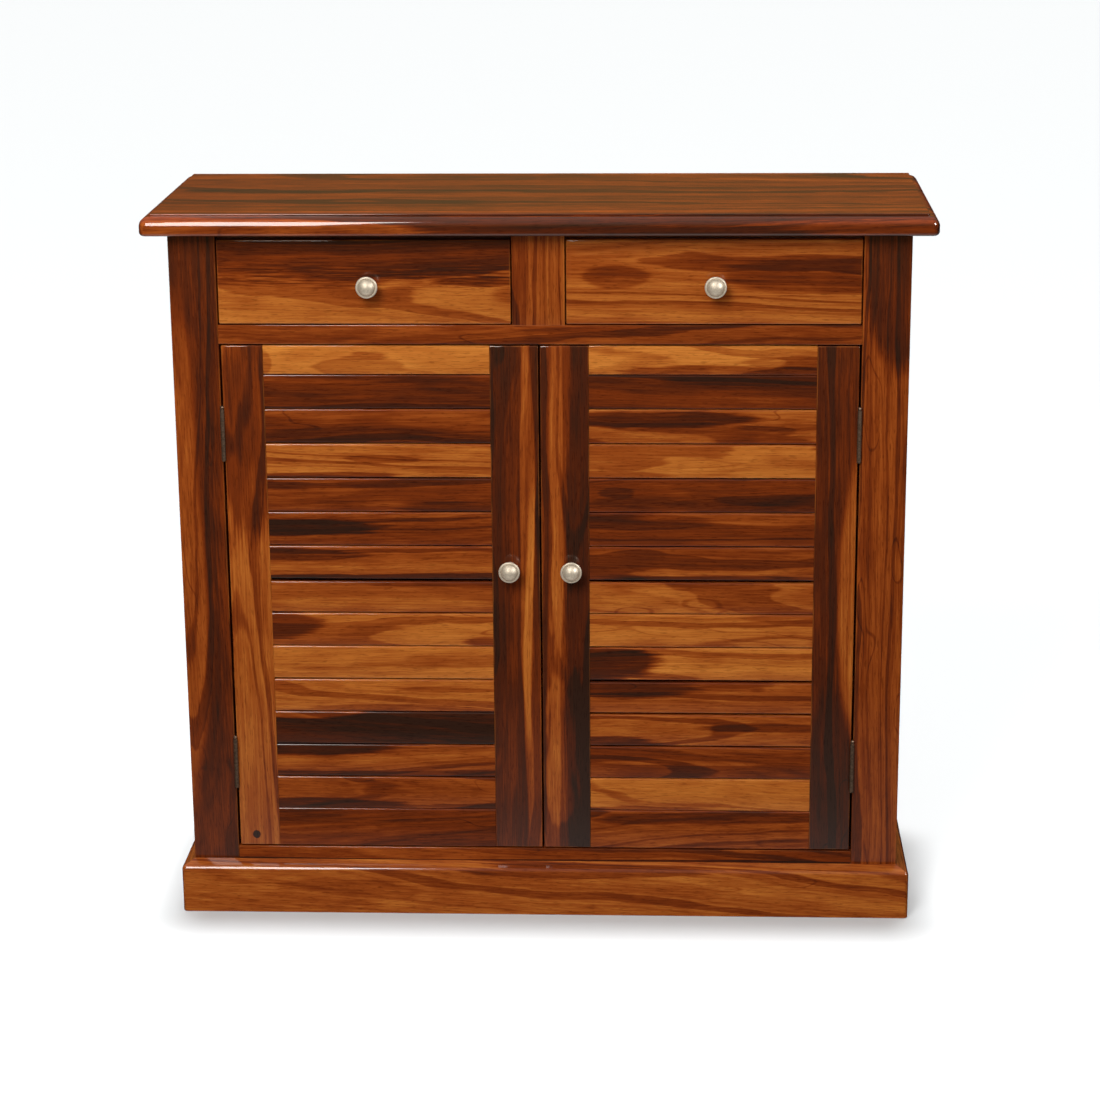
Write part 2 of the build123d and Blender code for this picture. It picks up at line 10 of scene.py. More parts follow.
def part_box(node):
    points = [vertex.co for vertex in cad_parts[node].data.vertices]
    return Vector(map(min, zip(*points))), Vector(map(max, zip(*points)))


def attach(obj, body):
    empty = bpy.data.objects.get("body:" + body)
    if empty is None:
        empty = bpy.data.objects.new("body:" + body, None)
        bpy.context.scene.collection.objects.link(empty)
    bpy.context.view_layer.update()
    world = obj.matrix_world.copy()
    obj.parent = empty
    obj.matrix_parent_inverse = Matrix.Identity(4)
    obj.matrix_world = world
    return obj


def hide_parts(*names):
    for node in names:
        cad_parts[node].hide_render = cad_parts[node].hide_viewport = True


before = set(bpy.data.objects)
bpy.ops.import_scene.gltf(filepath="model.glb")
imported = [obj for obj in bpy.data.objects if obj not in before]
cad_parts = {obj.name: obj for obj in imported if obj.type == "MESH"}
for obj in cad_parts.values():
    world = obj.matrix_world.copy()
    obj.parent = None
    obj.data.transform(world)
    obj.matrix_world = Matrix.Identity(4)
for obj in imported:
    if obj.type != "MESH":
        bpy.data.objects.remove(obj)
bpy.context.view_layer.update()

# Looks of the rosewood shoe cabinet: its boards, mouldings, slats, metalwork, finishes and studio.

bl_info = {
    "name": "Rosewood Shoe Cabinet",
    "version": (1, 0, 0),
    "blender": (4, 5, 0),
    "location": "3D View > Sidebar > Shoe Cabinet",
    "description": "Builds the visible boards, mouldings, slats, knobs and finishes of a shoe cabinet",
    "category": "Add Mesh",
}

X, Y, Z = 0, 1, 2
LOW, HIGH = 0, 1
MM = 0.001
MICRON = 0.000001
SIDES = ("left", "right")
HANDS = (("left", -1), ("right", 1))

# ---------------------------------------------------------------- how each board is figured

# Tone runs from 0, almost black heartwood, to 1, pale gold sapwood. Each streak is an oval of
# darker heartwood, or with a negative depth of lighter wood: its middle along and across the
# board, its half length and half width, all in shares of the board's own half size, and its depth.
# The bottom rail's second streak is not heartwood but a painted shadow line.
FIGURES = {
    "left_post": (0.28, (0.05, -0.95, 0.72, 1.0, -0.24), (-0.55, 0.6, 0.4, 0.6, 0.04)),
    "right_post": (0.49, (0.92, 0.30, 0.30, 1.20, 0.24), (0.1, 1.1, 0.5, 0.4, 0.12)),
    "centre_stile": (0.58, (0.0, -0.9, 2.4, 0.55, 0.14), (0.3, 0.7, 1.4, 0.25, 0.03)),
    "drawer_rail": (0.47, (-0.75, 0.4, 0.3, 1.2, 0.08), (0.0, 0.9, 1.4, 0.5, 0.05)),
    # The bottom rail's second streak is a painted shadow: a thin dark line along the rail's lower edge, just
    # above the plinth, in the crease where shade falls.
    "bottom_rail": (0.47, (0.9, 0.9, 0.2, 1.0, 0.1), (0.0, 0.33, 6.0, 0.07, 0.32)),
    "left_drawer": (0.69, (0.0, 1.95, 3.6, 1.88, 0.40), (0.80, 0.02, 0.36, 0.13, 0.26)),
    "right_drawer": (0.63, (-0.66, 0.08, 0.20, 0.27, 0.15), (0.70, 0.16, 0.64, 0.46, 0.20)),
    "left_hinge_stile": (0.60, (0.68, 0.15, 0.44, 1.3, 0.23), (-0.957, -0.12, 0.013, 0.16, 0.60)),
    "left_meeting_stile": (0.24, (0.45, 0.42, 0.85, 0.26, -0.26), (-0.5, 0.66, 0.8, 0.34, -0.26)),
    "right_meeting_stile": (0.38, (-0.1, 0.60, 1.3, 0.66, 0.18), (-0.1, -0.46, 1.6, 0.30, -0.19)),
    "right_hinge_stile": (0.30, (0.0, 1.05, 0.55, 0.90, -0.28), (-0.8, 0.0, 0.45, 1.2, 0.12)),
    "plinth_front": (0.60, (0.15, 0.7, 0.3, 0.22, 0.2), (-0.55, -0.2, 0.2, 0.5, 0.08)),
    "plinth_left": (0.52, (0.4, 0.3, 0.6, 0.5, 0.1), (0.0, 0.0, 0.1, 0.1, 0.0)),
    "plinth_right": (0.52, (0.4, 0.3, 0.6, 0.5, 0.1), (0.0, 0.0, 0.1, 0.1, 0.0)),
}

# The boards of each door from the top rail down to the bottom rail.
LEFT_DOOR_BOARDS = (
    (0.80, (-1.0, -0.3, 0.07, 0.9, 0.16), (-0.2, 0.1, 0.26, 0.3, 0.05)),
    (0.34, (-0.2, 0.8, 1.1, 0.4, 0.08), (0.9, 0.3, 0.5, 0.4, 0.06)),
    (0.40, (-0.1, -0.7, 1.0, 0.5, 0.10), (0.6, 0.3, 0.6, 0.4, -0.05)),
    (0.66, (0.02, 0.0, 0.30, 0.22, 0.16), (-0.45, -1.0, 0.7, 0.26, 0.30)),
    (0.41, (0.8, -0.7, 0.7, 0.35, 0.14), (-0.7, 0.3, 0.5, 0.5, -0.06)),
    (0.42, (-0.75, 0.05, 1.05, 0.58, 0.34), (0.70, 0.70, 0.9, 0.26, -0.16)),
    (0.54, (0.0, -1.0, 1.9, 0.34, 0.34), (-0.8, 0.6, 0.5, 0.3, 0.18)),
    (0.49, (0.1, 0.95, 1.1, 0.4, 0.12), (0.0, -0.5, 1.2, 0.4, -0.08)),
    (0.68, (-1.0, 0.25, 0.50, 0.80, 0.26), (0.95, -0.80, 0.3, 0.35, 0.26)),
    (0.73, (0.8, 0.1, 0.5, 0.35, 0.08), (-0.4, -0.8, 0.6, 0.3, 0.06)),
    (0.67, (0.6, 0.3, 0.4, 0.16, 0.10), (0.3, -1.0, 0.8, 0.25, 0.16)),
    (0.12, (-0.85, 1.05, 0.66, 0.42, -0.40), (0.7, -0.6, 0.6, 0.6, 0.04)),
    (0.53, (-0.95, 0.85, 1.0, 0.62, 0.36), (0.0, -1.0, 1.7, 0.34, 0.22)),
    (0.49, (-0.8, -0.95, 1.1, 0.5, 0.26), (0.9, -0.9, 0.6, 0.2, 0.16)),
    (0.36, (-0.6, 0.0, 0.6, 0.3, -0.08), (-1.0, 0.8, 0.7, 0.4, 0.06)),
)
RIGHT_DOOR_BOARDS = (
    (0.80, (0.2, -0.85, 1.0, 0.55, 0.30), (0.8, -0.1, 0.5, 0.4, 0.16)),
    (0.31, (0.4, 0.75, 0.6, 0.3, 0.10), (0.0, -0.6, 1.2, 0.4, -0.05)),
    (0.58, (-0.35, 0.45, 0.9, 0.5, 0.30), (0.75, -0.1, 0.5, 0.22, 0.14)),
    (0.72, (-0.9, -0.95, 0.7, 0.3, 0.18), (0.9, 0.2, 0.3, 0.8, 0.04)),
    (0.38, (0.75, -0.2, 0.5, 0.3, 0.14), (-0.75, 0.1, 0.15, 0.3, 0.12)),
    (0.38, (0.55, 0.65, 0.95, 0.42, -0.20), (-0.6, 0.3, 0.7, 0.4, 0.12)),
    (0.48, (0.0, -0.55, 0.9, 0.3, -0.10), (0.2, -1.0, 1.1, 0.3, 0.26)),
    (0.65, (-0.3, 0.9, 0.9, 0.4, 0.08), (0.8, 0.0, 0.6, 0.4, 0.04)),
    (0.68, (0.85, 0.7, 0.4, 0.35, 0.12), (-0.3, -0.9, 0.8, 0.3, 0.05)),
    (0.70, (-1.0, -0.15, 0.60, 1.05, 0.48), (-0.3, -0.95, 0.3, 0.3, 0.16)),
    (0.56, (-0.75, 0.5, 0.85, 0.62, 0.28), (0.25, 0.9, 0.5, 0.5, 0.16)),
    (0.61, (0.62, 0.05, 0.55, 0.24, 0.22), (-0.95, -0.85, 0.5, 0.5, 0.34)),
    (0.42, (-0.3, -0.1, 0.7, 0.14, -0.14), (0.4, 0.9, 0.8, 0.3, -0.06)),
    (0.70, (-0.6, -1.0, 0.7, 0.3, 0.22), (0.0, 0.6, 0.2, 0.2, 0.04)),
    (0.50, (0.35, 0.62, 1.1, 0.30, 0.18), (-0.5, -0.6, 0.4, 0.4, -0.05)),
)

DOOR_BOARDS = {"left": LEFT_DOOR_BOARDS, "right": RIGHT_DOOR_BOARDS}
SLAT_SEEDS = {"left": 563, "right": 1078}

# Glued-up panels: one tone for each stave, and plain streaks but for the top's front stave.
# The top's front stave, its half-round edge, gets painted light and shade instead of streaks: a
# lighter band along the left of its front-most edge, painted light where the edge turns under into
# shade below the highlight, and a darker band over most of the edge, painted shade that takes back
# the light from above.
TOP_STAVES = (0.37, 0.39, 0.37, 0.40)
TOP_EDGE_PAINTED_LIGHT_AND_SHADE = ((-0.75, -1.0, 0.75, 0.08, -0.10), (0.20, -0.86, 1.0, 0.14, 0.20))
SIDE_STAVES = (0.50, 0.38, 0.58)
SHELF_STAVES = (0.60, 0.52, 0.64)
PLAIN_STREAKS = ((0.3, 0.2, 0.7, 0.4, 0.08), (-0.5, -0.5, 0.5, 0.4, 0.06))

# A streak with this half width has an unrest of 1. A wider one has less, and a narrower one has
# more, up to the most. The meander is how far an unrest of 1 lets its middle line stray.
CALM_WIDTH = 9 * MM
MOST_UNREST = 1.6
MEANDER = 2.2

SCREW_SEED = 4


# ---------------------------------------------------------------- what a user may change


class CabinetSizes(bpy.types.PropertyGroup):
    board_ease: FloatProperty(
        name="Board Ease", description="Width of the eased edges of frame and drawer boards",
        default=1.1 * MM, min=0.2 * MM, max=3 * MM, unit="LENGTH", precision=4,
    )
    slat_round: FloatProperty(
        name="Slat Round", description="Radius of each slat's upper front edge",
        default=2.2 * MM, min=0.5 * MM, max=6 * MM, unit="LENGTH", precision=4,
    )
    slat_unevenness: FloatProperty(
        name="Slat Unevenness", description="Largest share of its height that a slat may have shrunk",
        default=0.065, min=0.0, max=0.1,
    )
    top_round: FloatProperty(
        name="Top Round", description="Radius of the half-round edge of the top",
        default=11.0 * MM, min=4 * MM, max=14 * MM, unit="LENGTH", precision=4,
    )
    top_step: FloatProperty(
        name="Top Step", description="How far the top's field stands above its round edge",
        default=2.5 * MM, min=1 * MM, max=4 * MM, unit="LENGTH", precision=4,
    )
    top_corner: FloatProperty(
        name="Top Corner", description="Radius of the top's two front corners in plan",
        default=9.0 * MM, min=1 * MM, max=12 * MM, unit="LENGTH", precision=4,
    )
    plinth_corner: FloatProperty(
        name="Plinth Corner", description="Radius of the plinth's two front corners in plan",
        default=5.0 * MM, min=1 * MM, max=8 * MM, unit="LENGTH", precision=4,
    )
    plinth_round: FloatProperty(
        name="Plinth Round", description="Radius between the plinth's face and its sloping top",
        default=6.5 * MM, min=2 * MM, max=9 * MM, unit="LENGTH", precision=4,
    )
    knob_sides: IntProperty(
        name="Knob Sides", description="Number of faces round a turned knob",
        default=72, min=24, max=128,
    )


class CabinetFinish(bpy.types.PropertyGroup):
    ebony: FloatVectorProperty(
        name="Ebony Streak", description="Darkest heartwood", subtype="COLOR",
        default=(0.034, 0.013, 0.007), min=0, max=1,
    )
    chocolate: FloatVectorProperty(
        name="Chocolate", description="Dark heartwood", subtype="COLOR",
        default=(0.088, 0.017, 0.005), min=0, max=1,
    )
    mahogany: FloatVectorProperty(
        name="Red Brown", description="Middle heartwood", subtype="COLOR",
        default=(0.19, 0.032, 0.005), min=0, max=1,
    )
    amber: FloatVectorProperty(
        name="Amber", description="Orange brown wood", subtype="COLOR",
        default=(0.33, 0.070, 0.010), min=0, max=1,
    )
    honey: FloatVectorProperty(
        name="Honey", description="Golden wood", subtype="COLOR",
        default=(0.50, 0.145, 0.022), min=0, max=1,
    )
    straw: FloatVectorProperty(
        name="Straw", description="Palest sapwood", subtype="COLOR",
        default=(0.70, 0.25, 0.042), min=0, max=1,
    )
    lacquer: FloatProperty(
        name="Lacquer", description="Weight of the clear gloss coat", default=0.85, min=0, max=1,
        subtype="FACTOR",
    )
    lacquer_roughness: FloatProperty(
        name="Lacquer Roughness", description="Roughness of the clear gloss coat",
        default=0.06, min=0, max=1, subtype="FACTOR",
    )
    pewter: FloatVectorProperty(
        name="Pewter", description="Metal of the knobs", subtype="COLOR",
        default=(0.60, 0.51, 0.395), min=0, max=1,
    )
    bronze: FloatVectorProperty(
        name="Bronze", description="Dark metal of the hinges", subtype="COLOR",
        default=(0.20, 0.125, 0.080), min=0, max=1,
    )
    zinc: FloatVectorProperty(
        name="Zinc", description="Plating of pins, plates and screws", subtype="COLOR",
        default=(0.62, 0.63, 0.64), min=0, max=1,
    )


class CabinetStage(bpy.types.PropertyGroup):
    floor_tint: FloatVectorProperty(
        name="Floor", description="Colour of the floor", subtype="COLOR",
        default=(0.574, 0.584, 0.592), min=0, max=1,
    )
    sky: FloatProperty(
        name="Room Light", description="Strength of the light from all round", default=1.0, min=0,
    )
    over: FloatProperty(
        name="Over Light", description="Strength of the light straight above", default=4.0, min=0,
    )
    key: FloatProperty(
        name="Key Light", description="Power of the soft box on the left", default=76.0,
        min=0, subtype="POWER",
    )
    strip: FloatProperty(
        name="Strip Light", description="Power of the tall strip that shows only in the lacquer",
        default=125.0, min=0, subtype="POWER",
    )
    front: FloatProperty(
        name="Front Light", description="Power of the broad light in front", default=26.0,
        min=0, subtype="POWER",
    )
    spark: FloatProperty(
        name="Corner Light", description="Power of the light that glints on the top's right corner",
        default=130.0, min=0, subtype="POWER",
    )
    focal: FloatProperty(
        name="Focal Length", description="Lens of the camera, in millimetres", default=92.45, min=20,
    )


def settings():
    scene = bpy.context.scene
    return scene.cabinet_sizes, scene.cabinet_finish, scene.cabinet_stage


# ---------------------------------------------------------------- node graphs


class Graph:
    """Short calls for building a node tree; an input may be a socket or a plain value."""

    def __init__(self, tree):
        self.tree = tree
        self.column = 0

    def add(self, kind, inputs=None, **options):
        node = self.tree.nodes.new(kind)
        node.location = (self.column * 190, -(self.column % 5) * 160)
        self.column += 1
        for name, value in options.items():
            setattr(node, name, value)
        for name, value in (inputs or {}).items():
            self.set(node.inputs[name], value)
        return node

    def set(self, socket, value):
        if isinstance(value, bpy.types.NodeSocket):
            self.tree.links.new(value, socket)
        else:
            socket.default_value = value

    def math(self, operation, *values):
        return self.add("ShaderNodeMath", dict(enumerate(values)), operation=operation).outputs[0]

    def plus(self, base, value, share):
        """The base with a share of the value added."""
        return self.math("MULTIPLY_ADD", value, share, base)

    def vector(self, operation, *values):
        node = self.add("ShaderNodeVectorMath", dict(enumerate(values)), operation=operation)
        return node.outputs["Value" if operation == "LENGTH" else "Vector"]

    def split(self, vector):
        return self.add("ShaderNodeSeparateXYZ", {"Vector": vector}).outputs

    def joined(self, **parts):
        return self.add("ShaderNodeCombineXYZ", parts).outputs["Vector"]

    def ramped(self, value, start, end, low=0.0, high=1.0, smooth=True):
        """A value mapped from start..end to low..high and held there."""
        kind = "SMOOTHSTEP" if smooth else "LINEAR"
        inputs = {"Value": value, "From Min": start, "From Max": end, "To Min": low, "To Max": high}
        return self.add("ShaderNodeMapRange", inputs, interpolation_type=kind).outputs["Result"]

    def noise(self, vector, scale, detail=2.0, roughness=0.5):
        """Noise stretched by a different scale each way, as a value centred on nought and a colour."""
        stretched = self.vector("MULTIPLY", vector, scale)
        inputs = {"Vector": stretched, "Scale": 1.0, "Detail": detail, "Roughness": roughness}
        node = self.add("ShaderNodeTexNoise", inputs)
        return self.math("SUBTRACT", node.outputs[0], 0.5), node.outputs["Color"]

    def line_noise(self, value, scale, offset, detail=1.0):
        """Noise along one value, centred on nought."""
        place = self.plus(offset, value, scale)
        inputs = {"W": place, "Scale": 1.0, "Detail": detail, "Roughness": 0.55}
        node = self.add("ShaderNodeTexNoise", inputs, noise_dimensions="1D")
        return self.math("SUBTRACT", node.outputs[0], 0.5)

    def colours(self, value, stops):
        node = self.add("ShaderNodeValToRGB", {"Fac": value})
        ramp = node.color_ramp
        while len(ramp.elements) < len(stops):
            ramp.elements.new(0.5)
        for element, (place, colour) in zip(ramp.elements, stops):
            element.position = place
            element.color = (*colour, 1.0)
        return node.outputs["Color"]

    def blend(self, kind, amount, first, second):
        inputs = {"Factor": amount, "A": first, "B": second}
        for name in ("A", "B"):
            if not isinstance(inputs[name], bpy.types.NodeSocket):
                inputs[name] = (*inputs[name], 1.0)
        return self.add("ShaderNodeMix", inputs, data_type="RGBA", blend_type=kind).outputs["Result"]


def figured_wood():
    """Node group: rosewood figure from log coordinates, a tone and two streaks, mostly of heartwood, a few of
    them painted shade and light.
    """
    if "Rosewood Figure" in bpy.data.node_groups:
        return bpy.data.node_groups["Rosewood Figure"]
    tree = bpy.data.node_groups.new("Rosewood Figure", "ShaderNodeTree")
    for name, direction, kind in (
        ("Grain", "INPUT", "Vector"),
        ("Look", "INPUT", "Vector"),
        ("First Streak", "INPUT", "Vector"),
        ("Second Streak", "INPUT", "Vector"),
        ("Arris", "INPUT", "Float"),
        ("Colour", "OUTPUT", "Color"),
        ("Roughness", "OUTPUT", "Float"),
        ("Height", "OUTPUT", "Float"),
    ):
        tree.interface.new_socket(name, in_out=direction, socket_type=f"NodeSocket{kind}")
    g = Graph(tree)
    given = g.add("NodeGroupInput").outputs
    grain = given["Grain"]

    # The log wanders slowly, and its rings waver a little more quickly.
    slow, slow_colour = g.noise(grain, (2.4, 10, 10), 1.5)
    quick, quick_colour = g.noise(grain, (11, 60, 60), 2.0)
    log = grain
    for colour, reach in ((slow_colour, 0.034), (quick_colour, 0.0045)):
        drift = g.vector("SUBTRACT", colour, (0.5, 0.5, 0.5))
        log = g.vector("ADD", log, g.vector("MULTIPLY", drift, (0, reach, reach)))
    ring = g.vector("LENGTH", g.vector("MULTIPLY", log, (0, 1, 1)))

    bands = g.line_noise(ring, 62, 3.0, 2.5)
    lines = g.line_noise(ring, 360, 11.0, 1.0)
    veins = g.ramped(g.line_noise(ring, 150, 29.0, 0.0), 0.13, 0.20, 0.0, 0.16)
    fibre, _ = g.noise(grain, (13, 520, 520), 2.0, 0.6)
    cloud, _ = g.noise(grain, (16, 46, 46), 2.0, 0.55)
    pores = g.ramped(g.noise(grain, (85, 950, 950), 1.0)[0], 0.07, 0.19)
    contour, _ = g.noise(grain, (7, 30, 30), 1.0)
    growth = g.ramped(g.math("ABSOLUTE", g.math("SUBTRACT", contour, 0.07)), 0.010, 0.001, 0.0, 0.13)
    growth = g.math("MULTIPLY", growth, g.ramped(slow, 0.02, 0.14))

    # Each streak is an oval whose middle line meanders and whose edge wobbles with the rings.
    look = g.split(given["Look"])
    wobble = g.plus(g.plus(slow, bands, 0.8), quick, 0.3)
    meander = g.math("MULTIPLY", g.math("SUBTRACT", g.split(slow_colour)[Y], 0.5), MEANDER)
    tone = g.plus(look[X], bands, 0.30)
    for name, unrest in (("First Streak", look[Y]), ("Second Streak", look[Z])):
        place = g.vector("ADD", given[name], g.joined(Y=g.math("MULTIPLY", meander, unrest)))
        reach = g.vector("LENGTH", g.vector("MULTIPLY", place, (1, 1, 0)))
        edge = g.plus(g.plus(reach, fibre, 0.35), wobble, unrest)
        inside = g.ramped(edge, 1.16, 0.84)
        tone = g.math("SUBTRACT", tone, g.math("MULTIPLY", inside, g.split(given[name])[Z]))
    for detail, share in ((lines, 0.15), (cloud, 0.22), (fibre, 0.34)):
        tone = g.plus(tone, detail, share)
    tone = g.math("SUBTRACT", tone, g.math("ADD", veins, growth))

    finish = settings()[1]
    colour = g.colours(tone, (
        (0.06, finish.ebony), (0.26, finish.chocolate), (0.42, finish.mahogany),
        (0.57, finish.amber), (0.72, finish.honey), (0.92, finish.straw),
    ))
    dark = g.blend("MULTIPLY", 1.0, colour, (0.50, 0.42, 0.40))
    colour = g.blend("MIX", g.math("MULTIPLY", pores, 0.6), colour, dark)
    worn = g.math("MULTIPLY", given["Arris"], g.ramped(cloud, -0.12, 0.12, 0.05, 0.30))
    colour = g.blend("MIX", worn, colour, finish.honey)

    roughness = g.plus(0.42, fibre, 0.20)
    height = g.math("SUBTRACT", g.math("MULTIPLY", fibre, 0.5), pores)
    g.add("NodeGroupOutput", {"Colour": colour, "Roughness": roughness, "Height": height})
    return tree


def new_material(name):
    material = bpy.data.materials.new(name)
    material.use_nodes = True
    material.node_tree.nodes.clear()
    return material, Graph(material.node_tree)


def shaded(g, colour, roughness, height, relief, **fixed):
    """A Principled shader with bump; what is the same all over goes on its own sockets."""
    bump = g.add("ShaderNodeBump", {"Height": height, "Strength": 1.0, "Distance": relief})
    inputs = {"Base Color": colour, "Roughness": roughness, "Normal": bump.outputs[0]}
    shader = g.add("ShaderNodeBsdfPrincipled", inputs)
    for name, value in fixed.items():
        shader.inputs[name.replace("_", " ")].default_value = value
    g.add("ShaderNodeOutputMaterial", {"Surface": shader.outputs[0]})


def rosewood():
    """Gloss lacquer over figured rosewood, read from each board's own attributes."""
    if "rosewood_lacquered" in bpy.data.materials:
        return bpy.data.materials["rosewood_lacquered"]
    finish = settings()[1]
    material, g = new_material("rosewood_lacquered")
    group = g.add("ShaderNodeGroup", node_tree=figured_wood())
    for socket, attribute, output in (
        ("Grain", "grain", "Vector"),
        ("Look", "look", "Vector"),
        ("First Streak", "first_streak", "Vector"),
        ("Second Streak", "second_streak", "Vector"),
        ("Arris", "arris", "Fac"),
    ):
        source = g.add("ShaderNodeAttribute", attribute_name=attribute)
        g.set(group.inputs[socket], source.outputs[output])
    out = group.outputs
    shaded(
        g, out["Colour"], out["Roughness"], out["Height"], 0.05 * MM,
        Specular_IOR_Level=0.0, Coat_Weight=finish.lacquer, Coat_Roughness=finish.lacquer_roughness,
    )
    return material


def secondary_wood(name, turn, tone, coat):
    """Plainer wood for hidden boards, on object coordinates, its grain turned along an axis."""
    material, g = new_material(name)
    place = g.add("ShaderNodeTexCoord").outputs["Object"]
    inputs = {"Vector": place, "Location": (0.31, 0.07, 0.055), "Rotation": turn}
    turned = g.add("ShaderNodeMapping", inputs).outputs[0]
    beyond = (2.0, 2.0, 0.0)
    inputs = {"Grain": turned, "Look": (tone, 0.0, 0.0), "First Streak": beyond, "Second Streak": beyond}
    out = g.add("ShaderNodeGroup", inputs, node_tree=figured_wood()).outputs
    muted = g.blend("MIX", 0.35, out["Colour"], (0.23, 0.10, 0.045))
    rough = g.math("ADD", out["Roughness"], 0.14)
    shaded(
        g, muted, rough, out["Height"], 0.2 * MM,
        Specular_IOR_Level=0.3, Coat_Weight=coat, Coat_Roughness=0.35,
    )
    return material


def metal(name, colour, dull, roughness, patch, relief, metallic=1.0):
    """Cast or plated metal with dull patches, fine pitting and scuffs, made once for each name."""
    if name in bpy.data.materials:
        return bpy.data.materials[name]
    material, g = new_material(name)
    place = g.add("ShaderNodeTexCoord").outputs["Object"]
    broad, _ = g.noise(place, (patch, patch, patch), 3.0, 0.6)
    pits, _ = g.noise(place, (1500, 1500, 1500), 2.0)
    scuffs, _ = g.noise(place, (260, 2600, 700), 1.0)
    dulled = g.ramped(broad, -0.12, 0.16, 0.0, 1.0)
    tint = g.blend("MIX", dulled, colour, [part * dull for part in colour])
    rough = g.plus(g.plus(roughness, scuffs, 0.16), broad, 0.22)
    height = g.plus(g.math("MULTIPLY", scuffs, 0.5), pits, 0.5)
    shaded(g, tint, rough, height, relief, Metallic=metallic)
    return material


def satin_pewter():
    finish = settings()[1]
    return metal(
        "pewter_satin", finish.pewter, dull=0.8, roughness=0.52, patch=420, relief=0.03 * MM, metallic=0.5,
    )


def antique_bronze():
    finish = settings()[1]
    return metal(
        "bronze_antique", finish.bronze, dull=0.45, roughness=0.4, patch=420, relief=0.05 * MM, metallic=0.75,
    )


def plated_steel():
    finish = settings()[1]
    return metal(
        "zinc_plated_steel", finish.zinc, dull=0.8, roughness=0.34, patch=180, relief=0.02 * MM,
    )


def moulded_plastic():
    """Brown moulded plastic with a fine spark texture."""
    material, g = new_material("catch_plastic_moulded")
    place = g.add("ShaderNodeTexCoord").outputs["Object"]
    spark, _ = g.noise(place, (1900, 1900, 1900), 2.0)
    cloud, _ = g.noise(place, (90, 90, 90), 2.0)
    tint = g.blend("MIX", g.ramped(cloud, -0.2, 0.2), (0.075, 0.040, 0.022), (0.105, 0.058, 0.032))
    shaded(g, tint, g.plus(0.45, cloud, 0.15), spark, 0.06 * MM)
    return material


# ---------------------------------------------------------------- meshes and boards


def new_piece(name, mesh, body, slot, *nodes):
    """A finished mesh as a piece that rides on a body and stands for CAD nodes."""
    piece = bpy.data.objects.new(name, mesh)
    bpy.context.scene.collection.objects.link(piece)
    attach(piece, body)
    if nodes:
        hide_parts(*nodes)
    return piece


def mesh_from(bm, name):
    bmesh.ops.recalc_face_normals(bm, faces=bm.faces[:])
    mesh = bpy.data.meshes.new(name)
    bm.to_mesh(mesh)
    bm.free()
    return mesh


def smoothed(mesh, angle=32.0):
    """Smooth shading, broken where faces meet more sharply than the angle in degrees."""
    mesh.shade_smooth()
    mesh.set_sharp_from_angle(angle=math.radians(angle))
    return mesh


def arc(centre, radius, start, end, steps):
    """Points on an arc, angles in degrees."""
    points = []
    for step in range(steps + 1):
        angle = math.radians(start + (end - start) * step / steps)
        points.append((centre[0] + radius * math.cos(angle), centre[1] + radius * math.sin(angle)))
    return points


def swept(bm, rings, closed=False):
    """Skins rings of points with quads, open at both ends, and returns the rings' vertices."""
    made = [[bm.verts.new(point) for point in ring] for ring in rings]
    for first, second in zip(made, made[1:]):
        count = len(first)
        for n in range(count if closed else count - 1):
            m = (n + 1) % count
            bm.faces.new((first[n], first[m], second[m], second[n]))
    return made


def axis_order(along):
    """The axis of the grain first, then the two others."""
    return (along, *(axis for axis in (X, Y, Z) if axis != along))


def prism(outline, along, low, high):
    """An outline in the plane across an axis, run from low to high along it."""
    _, first, second = axis_order(along)
    rings = []
    for reach in (low, high):
        ring = []
        for u, v in outline:
            point = [0.0, 0.0, 0.0]
            point[along], point[first], point[second] = reach, u, v
            ring.append(point)
        rings.append(ring)
    bm = bmesh.new()
    made = swept(bm, rings, closed=True)
    bm.faces.new(made[0])
    bm.faces.new(made[1])
    return bm


def rectangle(low, high, along):
    _, first, second = axis_order(along)
    return [
        (low[first], low[second]), (high[first], low[second]),
        (high[first], high[second]), (low[first], high[second]),
    ]


def eased(bm, width, segments=3):
    """Rounds every sharp edge and marks the new faces as arrises."""
    layer = bm.faces.layers.float.new("arris")
    made = bmesh.ops.bevel(
        bm, geom=bm.edges[:], offset=width, segments=segments, profile=0.5,
        affect="EDGES", clamp_overlap=True,
    )
    for face in made["faces"]:
        face[layer] = 1.0
    return bm


